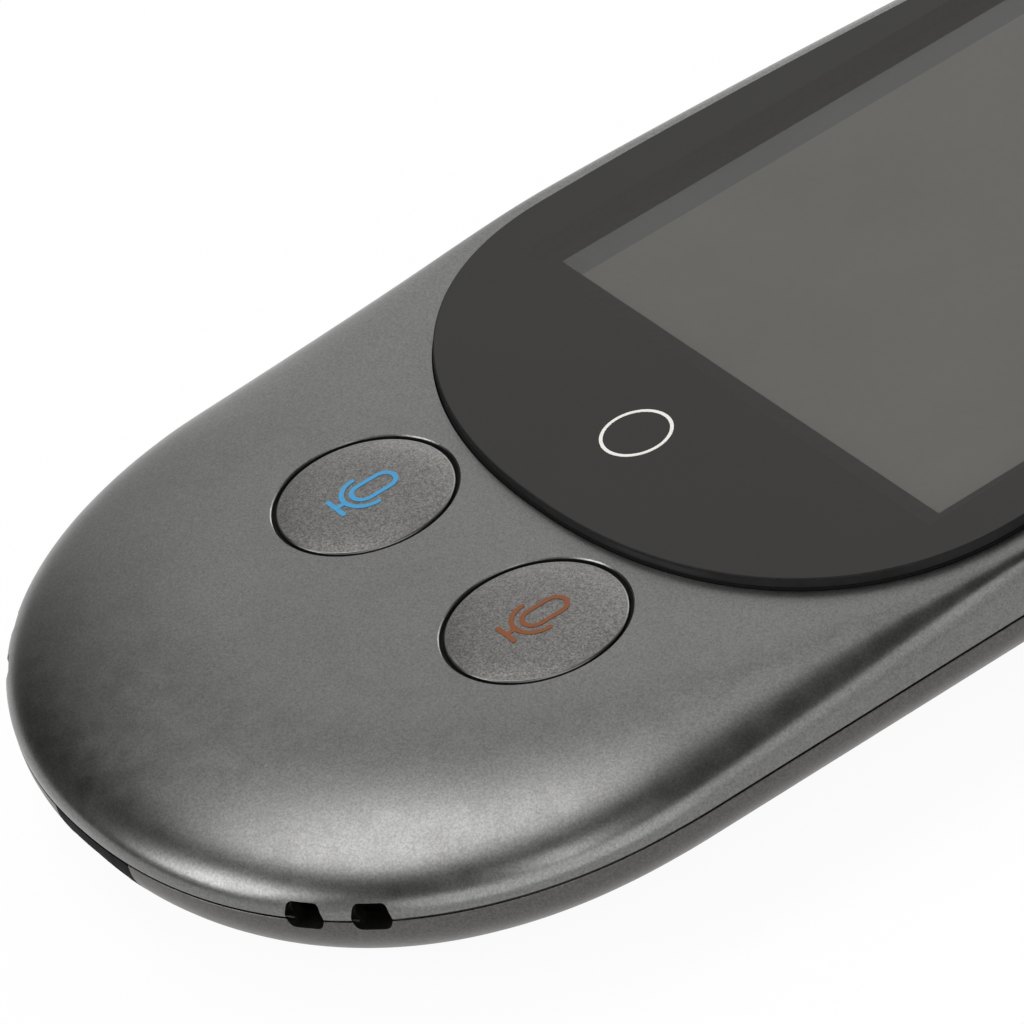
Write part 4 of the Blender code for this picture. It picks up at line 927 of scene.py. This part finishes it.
def make_talk_key(node, finish, rim_highlight_finish):
    """A turned cap with a gently crowned face, a rounded rim, a flange and a stem."""
    face_index, rim_index = range(2)
    low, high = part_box(node)
    centre = middle(node)
    top = high.z - KEY_CROWN
    flange_top = BODY_DEPTH - KEY_FLANGE_DROP
    rim = KEY_RADIUS - KEY_EDGE
    profile = [(KEY_STEM_RADIUS, low.z), (KEY_STEM_RADIUS, flange_top - KEY_FLANGE_THICKNESS)]
    profile += [(KEY_FLANGE_RADIUS, flange_top - KEY_FLANGE_THICKNESS), (KEY_FLANGE_RADIUS, flange_top)]
    profile.append((KEY_RADIUS, flange_top))
    for step in range(2 * EDGE_STEPS + 1):
        angle = QUARTER_TURN * step / (2 * EDGE_STEPS)
        profile.append((rim + KEY_EDGE * math.cos(angle), top - KEY_EDGE * (1.0 - math.sin(angle))))
    for step in range(1, CROWN_STEPS):
        radius = rim * (1.0 - step / CROWN_STEPS)
        profile.append((radius, crown_height(top, radius)))
    levels = stacked(*((circle(radius, centre.x, centre.y), z) for radius, z in profile))
    key = loft("fine_" + node, levels, [finish, rim_highlight_finish])
    # Faces on the rounded rim take the rim paint, whose lighter tone is a slight painted highlight
    for face in key.data.polygons:
        away = (face.center.xy - centre.xy).length
        on_rim = away > rim and face.center.z > top - KEY_EDGE
        face.material_index = rim_index if on_rim else face_index
    finished(key, node, "key_paint", node, sharp_degrees=ROUND_RIM_DEGREES)
    return centre, top


def make_side_key(name, place, finish):
    """A pill with a rounded rim and ears behind the wall."""

    def pill(inset):
        corner = SIDE_KEY_HEIGHT * PILL_CORNER_SHARE - inset
        return rounded_rectangle(SIDE_KEY_LENGTH - 2 * inset, SIDE_KEY_HEIGHT - 2 * inset, corner)

    ear_high = -SIDE_KEY_WALL - SIDE_KEY_GAP
    ears = rounded_rectangle(SIDE_KEY_LENGTH + 2 * SIDE_KEY_EAR, SIDE_KEY_HEIGHT, SIDE_KEY_EDGE)
    levels = [(ears, ear_high - SIDE_KEY_EAR_THICKNESS), (ears, ear_high), (pill(0.0), ear_high)]
    for step in range(EDGE_STEPS + 1):
        angle = QUARTER_TURN * step / EDGE_STEPS
        inset = SIDE_KEY_EDGE * (1.0 - math.cos(angle))
        levels.append((pill(inset), SIDE_KEY_STAND - SIDE_KEY_EDGE * (1.0 - math.sin(angle))))
    key = loft("fine_" + name, stacked(*levels), [finish])
    key.data.transform(place)
    finished(key, name, "key_paint", name, sharp_degrees=ROUND_RIM_DEGREES)


def stroke(shape, path, width, height_at, closed=False):
    """Add a thin closed ribbon along a flat path to a mesh, its ends round unless the path is closed."""
    path = [Vector(point) for point in path]
    count = len(path)
    left = []
    right = []
    for i, point in enumerate(path):
        before = path[i - 1] if i or closed else point
        after = path[(i + 1) % count] if i < count - 1 or closed else point
        along = (after - before).normalized()
        across = Vector((-along.y, along.x)) * width / 2
        left.append(point + across)
        right.append(point - across)

    def row(points, lift):
        return [shape.verts.new((*point, height_at(point) + lift)) for point in points]

    def cap(end, inner):
        along = (end - inner).normalized()
        start = math.atan2(along.y, along.x) - QUARTER_TURN
        turns = [start + HALF_TURN * step / CAP_STEPS for step in range(1, CAP_STEPS)]
        return [end + Vector((math.cos(turn), math.sin(turn))) * width / 2 for turn in turns]

    if closed:
        tops = [row(left, MARK_THICKNESS), row(right, MARK_THICKNESS)]
        join_rows(shape, [*tops, row(right, -MARK_SINK), row(left, -MARK_SINK), tops[0]])
        return
    loop = right + cap(path[-1], path[-2]) + left[::-1] + cap(path[0], path[1])
    top = row(loop, MARK_THICKNESS)
    low = row(loop, -MARK_SINK)
    shape.faces.new(top)
    shape.faces.new(low[::-1])
    join_rows(shape, [low, top])


def half_circle(y, radius, start):
    """Half a circle round a point of the Y axis, anticlockwise from a start angle."""
    turns = [start + HALF_TURN * step / ARC_STEPS for step in range(ARC_STEPS + 1)]
    return [(radius * math.cos(turn), y + radius * math.sin(turn)) for turn in turns]


def make_key_mark(name, body, centre, top, finish):
    """A plain microphone: a capsule, the yoke round it, its stem and its foot."""
    capsule_foot = MARK_CAPSULE_RISE - MARK_CAPSULE_HALF
    yoke_y = capsule_foot + MARK_YOKE_RISE
    upper = half_circle(MARK_CAPSULE_RISE + MARK_CAPSULE_HALF, MARK_CAPSULE_RADIUS, 0.0)
    lower = half_circle(capsule_foot, MARK_CAPSULE_RADIUS, HALF_TURN)
    shape = bmesh.new()

    def height_at(point):
        return crown_height(top, (point - centre.xy).length)

    def draw(path, closed=False):
        stroke(shape, moved(path, centre.x, centre.y), MARK_STROKE, height_at, closed)

    draw(upper + lower, closed=True)
    draw(half_circle(yoke_y, MARK_YOKE_RADIUS, HALF_TURN))
    draw([(0.0, yoke_y - MARK_YOKE_RADIUS), (0.0, -MARK_FOOT_DROP)])
    draw([(-MARK_FOOT_HALF, -MARK_FOOT_DROP), (MARK_FOOT_HALF, -MARK_FOOT_DROP)])
    face_outward(shape)
    finished(made_from(name, shape, [finish]), body, None)


def make_glass_ring(finish):
    """A plain thin ring printed on the glass between the keys and the window."""
    shape = bmesh.new()
    path = circle(RING_RADIUS, 0.0, KEY_Y + RING_FROM_KEYS, RING_STEPS)
    stroke(shape, path, RING_STROKE, lambda point: GLASS_TOP_Z, closed=True)
    face_outward(shape)
    finished(made_from("glass_ring", shape, [finish]), "housing", None)


def feed(tree, socket, value):
    """Give a socket its number or colour, or link it to the output that it takes."""
    if isinstance(value, bpy.types.NodeSocket):
        tree.links.new(value, socket)
    else:
        socket.default_value = value


def add_node(tree, kind, **values):
    """A new shader node with what its named sockets take."""
    made = tree.nodes.new(kind)
    for name, value in values.items():
        feed(tree, made.inputs[name], value)
    return made


def math_node(tree, operation, *values):
    """The output of a new Math node on numbers and outputs."""
    made = tree.nodes.new("ShaderNodeMath")
    made.operation = operation
    for socket, value in zip(made.inputs, values):
        feed(tree, socket, value)
    return made.outputs[0]


class Finish:
    """A material under construction: its node tree, its shader and coordinates in millimetres."""

    def __init__(self, name, colour, roughness, metallic=0.0):
        self.material = bpy.data.materials.new(name)
        self.material.use_nodes = True
        self.tree = self.material.node_tree
        self.shader = self.tree.nodes["Principled BSDF"]
        self.colour = colour
        self.roughness = roughness
        self.put("Base Color", (*colour, 1.0))
        self.put("Roughness", roughness)
        self.put("Metallic", metallic)
        place = self.node("ShaderNodeTexCoord").outputs["Object"]
        scaled = self.node("ShaderNodeMapping", Scale=(1 / MM, 1 / MM, 1 / MM), Vector=place)
        self.place = scaled.outputs["Vector"]

    def node(self, kind, **values):
        return add_node(self.tree, kind, **values)

    def put(self, name, value):
        feed(self.tree, self.shader.inputs[name], value)

    def noise(self, size_mm, detail=2.0, squeeze=None):
        place = self.place
        if squeeze:
            place = self.node("ShaderNodeMapping", Scale=squeeze, Vector=place).outputs["Vector"]
        made = self.node("ShaderNodeTexNoise", Scale=1.0 / size_mm, Detail=detail, Vector=place)
        return made.outputs["Fac"]

    def cells(self, size_mm):
        made = self.node("ShaderNodeTexVoronoi", Scale=1.0 / size_mm, Vector=self.place)
        return made.outputs["Color"]

    def ranged(self, source, low, high, from_low=0.0, from_high=1.0):
        """A value brought from one span to another."""
        spans = {"From Min": from_low, "From Max": from_high, "To Min": low, "To Max": high}
        return self.node("ShaderNodeMapRange", Value=source, **spans).outputs["Result"]

    def uneven(self, size_mm, low, high, detail=2.0):
        """A value that drifts between two bounds, in blotches of about this size."""
        return self.ranged(self.noise(size_mm, detail), low, high, *NOISE_SPAN)

    def times(self, first, second):
        return math_node(self.tree, "MULTIPLY", first, second)

    def tinted(self, strength):
        """Drive the base colour: the finish's own colour times a strength that varies over the surface."""
        made = self.node("ShaderNodeVectorMath")
        made.operation = "SCALE"
        made.inputs[0].default_value = self.colour
        feed(self.tree, made.inputs["Scale"], strength)
        self.put("Base Color", made.outputs[0])

    def rough(self, source, spread):
        varied = self.ranged(source, self.roughness - spread, self.roughness + spread, *NOISE_SPAN)
        self.put("Roughness", varied)

    def bump(self, source, depth_mm):
        made = self.node("ShaderNodeBump", Strength=1.0, Distance=depth_mm * MM, Height=source)
        self.put("Normal", made.outputs["Normal"])


def metallic_paint(name):
    """Satin metallic paint: flakes of slightly unlike brightness under a faintly uneven coat."""
    colour, roughness, flake_mm, flake_spread, depth_mm = PAINTS[name]
    made = Finish(name, colour, roughness, metallic=1.0)
    flakes = made.node("ShaderNodeSeparateColor", Color=made.cells(flake_mm)).outputs[0]
    fine = made.ranged(flakes, 1.0 - flake_spread, 1.0 + flake_spread)
    mottle = made.uneven(2 * flake_mm, 1.0 - flake_spread / 2, 1.0 + flake_spread / 2)
    clouds = made.uneven(size_mm=9.0, low=0.97, high=1.03)
    made.tinted(made.times(made.times(fine, mottle), clouds))
    made.rough(made.noise(size_mm=1.6, detail=3.0), spread=0.025)
    made.bump(made.noise(flake_mm * 1.6), depth_mm)
    return made.material


def printed_ink(name, colour):
    made = Finish(name, colour, roughness=0.55)
    made.put("Specular IOR Level", 0.2)
    made.tinted(made.uneven(size_mm=0.12, low=0.9, high=1.1))
    made.bump(made.noise(size_mm=0.1), depth_mm=0.002)
    return made.material


def clear_glass():
    """The clear part of the glass: the gloss there is that of the window behind it."""
    made = Finish("clear_glass", (1.0, 1.0, 1.0), GLASS_ROUGHNESS)
    cloud = made.uneven(size_mm=14.0, low=0.99, high=1.0, detail=3.0)
    through = made.node("ShaderNodeBsdfTransparent", Color=cloud)
    nodes = made.tree.nodes
    made.tree.links.new(through.outputs[0], nodes["Material Output"].inputs["Surface"])
    nodes.remove(made.shader)
    return made.material


def glass_print(name, colour):
    """Print or display film with the polish of the glass over it."""
    made = Finish(name, colour, GLASS_ROUGHNESS)
    fine = made.uneven(size_mm=0.4, low=0.985, high=1.015)
    blotch = made.uneven(size_mm=11.0, low=0.98, high=1.02, detail=3.0)
    made.tinted(made.times(fine, blotch))
    made.rough(made.noise(size_mm=14.0, detail=3.0), spread=GLASS_ROUGHNESS / 3)
    made.put("IOR", GLASS_IOR)
    return made.material


def well_print_and_painted_glow():
    """Near-black print on the walls and floor of the well round the window, with a painted glow: an even self-lit
    grey that stands in for the light on the glass's border, whatever light falls there.
    """
    made = Finish("well_print_and_painted_glow", WELL_BLACK, roughness=0.9)
    made.tinted(made.uneven(size_mm=0.4, low=0.5, high=1.5))
    made.put("Specular IOR Level", 0.0)
    # Painted glow: a self-lit grey in place of the light on the border
    made.put("Emission Color", (*WELL_GLOW, 1.0))
    made.put("Emission Strength", 1.0)
    return made.material


def glass_side():
    """The smooth black sides of the glass."""
    made = Finish("glass_side", SIDE_BLACK, roughness=0.2)
    made.tinted(made.uneven(size_mm=3.0, low=0.8, high=1.3, detail=3.0))
    made.rough(made.noise(size_mm=14.0, detail=4.0), spread=0.04)
    made.put("IOR", GLASS_IOR)
    return made.material


def glass_edge_dark_reflection():
    """The ground black edge round the face of the glass, darker and duller than the glass beside it: a painted
    dark reflection line.
    """
    made = Finish("glass_edge_dark_reflection", GAP_BLACK, roughness=0.6)
    made.tinted(made.uneven(size_mm=0.4, low=0.7, high=1.3))
    made.rough(made.noise(size_mm=2.0), spread=0.05)
    made.put("Specular IOR Level", 0.2)
    return made.material


def deep_black():
    """Matt black plastic in a gap or socket; on the bead round the glass and the linings of the key holes it also
    paints the shade in the gap.
    """
    made = Finish("deep_black", GAP_BLACK, roughness=0.8)
    made.tinted(made.uneven(size_mm=0.2, low=0.7, high=1.3))
    made.rough(made.noise(size_mm=1.0), spread=0.08)
    made.bump(made.noise(size_mm=0.15), depth_mm=0.004)
    made.put("Specular IOR Level", 0.12)
    return made.material


def node_finish(slot):
    """A finish whose grains differ in brightness and also stand up a little."""
    colour, roughness, metallic, grain_mm, spread, depth_mm, squeeze = NODE_FINISHES[slot]
    made = Finish(slot, colour, roughness, metallic)
    grain = made.noise(grain_mm, detail=3.0, squeeze=squeeze)
    made.tinted(made.ranged(grain, 1.0 - spread, 1.0 + spread, *NOISE_SPAN))
    made.rough(made.noise(grain_mm * 6), spread=min(0.05, roughness / 2))
    made.bump(grain, depth_mm)
    return made.material


def dress_inner_nodes():
    """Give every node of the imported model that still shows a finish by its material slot."""
    finishes = {slot: node_finish(slot) for slot in NODE_FINISHES}
    for row in frame["record"]["subparts"]:
        if row["material_slot"] in finishes:
            node = frame["nodes"][row["node"]]
            node.data.materials.clear()
            node.data.materials.append(finishes[row["material_slot"]])


def make_floor():
    """A white floor with a faint shadow, clear from below: most of it glows, the rest is lit."""
    material = bpy.data.materials.new("floor_white")
    material.use_nodes = True
    tree = material.node_tree
    tree.nodes.clear()
    lit = add_node(tree, "ShaderNodeBsdfDiffuse", Color=(FLOOR_WHITE, FLOOR_WHITE, FLOOR_WHITE, 1.0))
    glow = add_node(tree, "ShaderNodeEmission", Color=(1.0, 1.0, 1.0, 1.0))
    path = tree.nodes.new("ShaderNodeLightPath")
    seen = path.outputs["Is Camera Ray"]
    for other in ("Is Glossy Ray", "Is Transmission Ray"):
        seen = math_node(tree, "MAXIMUM", seen, path.outputs[other])
    share = math_node(tree, "MULTIPLY", seen, FLOOR_GLOW_SHARE)
    below = tree.nodes.new("ShaderNodeBsdfTransparent")
    geometry = tree.nodes.new("ShaderNodeNewGeometry")

    def mix(factor, first, second):
        made = tree.nodes.new("ShaderNodeMixShader")
        for socket, source in zip(made.inputs, (factor, first, second)):
            tree.links.new(source, socket)
        return made.outputs[0]

    above = mix(share, lit.outputs[0], glow.outputs[0])
    sided = mix(geometry.outputs["Backfacing"], above, below.outputs[0])
    add_node(tree, "ShaderNodeOutputMaterial", Surface=sided)
    shape = bmesh.new()
    bmesh.ops.create_circle(shape, cap_ends=True, segments=RING_STEPS, radius=FLOOR_RADIUS)
    floor = made_from("floor", shape, [material])
    floor.location.z = CAD_BOX[0].z


def direction(azimuth, elevation):
    """Azimuth 0 is towards the foot, 90 towards +X."""
    a = math.radians(azimuth)
    e = math.radians(elevation)
    return Vector((math.sin(a) * math.cos(e), -math.cos(a) * math.cos(e), math.sin(e)))


def make_softboxes():
    for name, azimuth, elevation, half_width, half_height, radiance in SOFTBOXES:
        width = 2 * SOFTBOX_DISTANCE * math.tan(math.radians(half_width))
        height = 2 * SOFTBOX_DISTANCE * math.tan(math.radians(half_height))
        data = bpy.data.lights.new(name, "AREA")
        data.shape = "RECTANGLE"
        data.size = width
        data.size_y = height
        data.energy = radiance * math.pi * width * height
        lamp = bpy.data.objects.new(name, data)
        bpy.context.scene.collection.objects.link(lamp)
        outward = direction(azimuth, elevation)
        lamp.location = outward * SOFTBOX_DISTANCE
        lamp.rotation_mode = "QUATERNION"
        lamp.rotation_quaternion = outward.to_track_quat("Z", "Y")


def make_world():
    """Dim surroundings with pale patches, each a soft round spot of the sky."""
    world = bpy.data.worlds.new("studio")
    bpy.context.scene.world = world
    world.use_nodes = True
    tree = world.node_tree
    background = tree.nodes["Background"].inputs
    place = tree.nodes.new("ShaderNodeTexCoord").outputs["Generated"]

    def along(way):
        dot = tree.nodes.new("ShaderNodeVectorMath")
        dot.operation = "DOT_PRODUCT"
        dot.inputs[1].default_value = way
        tree.links.new(place, dot.inputs[0])
        return dot.outputs["Value"]

    total = SURROUNDINGS
    for azimuth, elevation, spread, radiance in PATCHES:
        tightness = 1.0 / (1.0 - math.cos(math.radians(spread)))
        away = math_node(tree, "SUBTRACT", along(direction(azimuth, elevation)), 1.0)
        fall = math_node(tree, "EXPONENT", math_node(tree, "MULTIPLY", away, tightness))
        total = math_node(tree, "MULTIPLY_ADD", fall, radiance, total)
    tree.links.new(total, background["Strength"])
    background["Color"].default_value = (1.0, 1.0, 1.0, 1.0)


def main():
    make_camera()
    make_front_shell(metallic_paint("shell_paint"))
    make_back_shell(metallic_paint("back_paint"))
    black = deep_black()
    make_cover_glass(
        [
            glass_side(),
            glass_edge_dark_reflection(),
            glass_print("glass_border", BORDER_BLACK),
            well_print_and_painted_glow(),
            glass_print("window_panel", WINDOW_GREY),
            glass_print("window_strip", STRIP_GREY),
        ],
        clear_glass(),
    )
    make_glass_joint_shade(black)
    make_port_frame(black)
    key_paint = metallic_paint("key_paint")
    key_rim_highlight = metallic_paint("key_rim_highlight")
    inks = (printed_ink("blue_ink", BLUE_INK), printed_ink("brown_ink", BROWN_INK))
    for node, ink in zip(TALK_KEYS, inks):
        centre, top = make_talk_key(node, key_paint, key_rim_highlight)
        make_key_seal(node, black)
        make_key_mark(node.replace("talk_key", "key_mark"), node, centre, top, ink)
    for name, place in side_keys():
        make_side_key(name, place, key_paint)
    make_glass_ring(printed_ink("white_ink", WHITE_INK))
    dress_inner_nodes()
    make_floor()
    make_softboxes()
    make_world()
    bpy.context.scene.view_settings.view_transform = "Standard"


main()
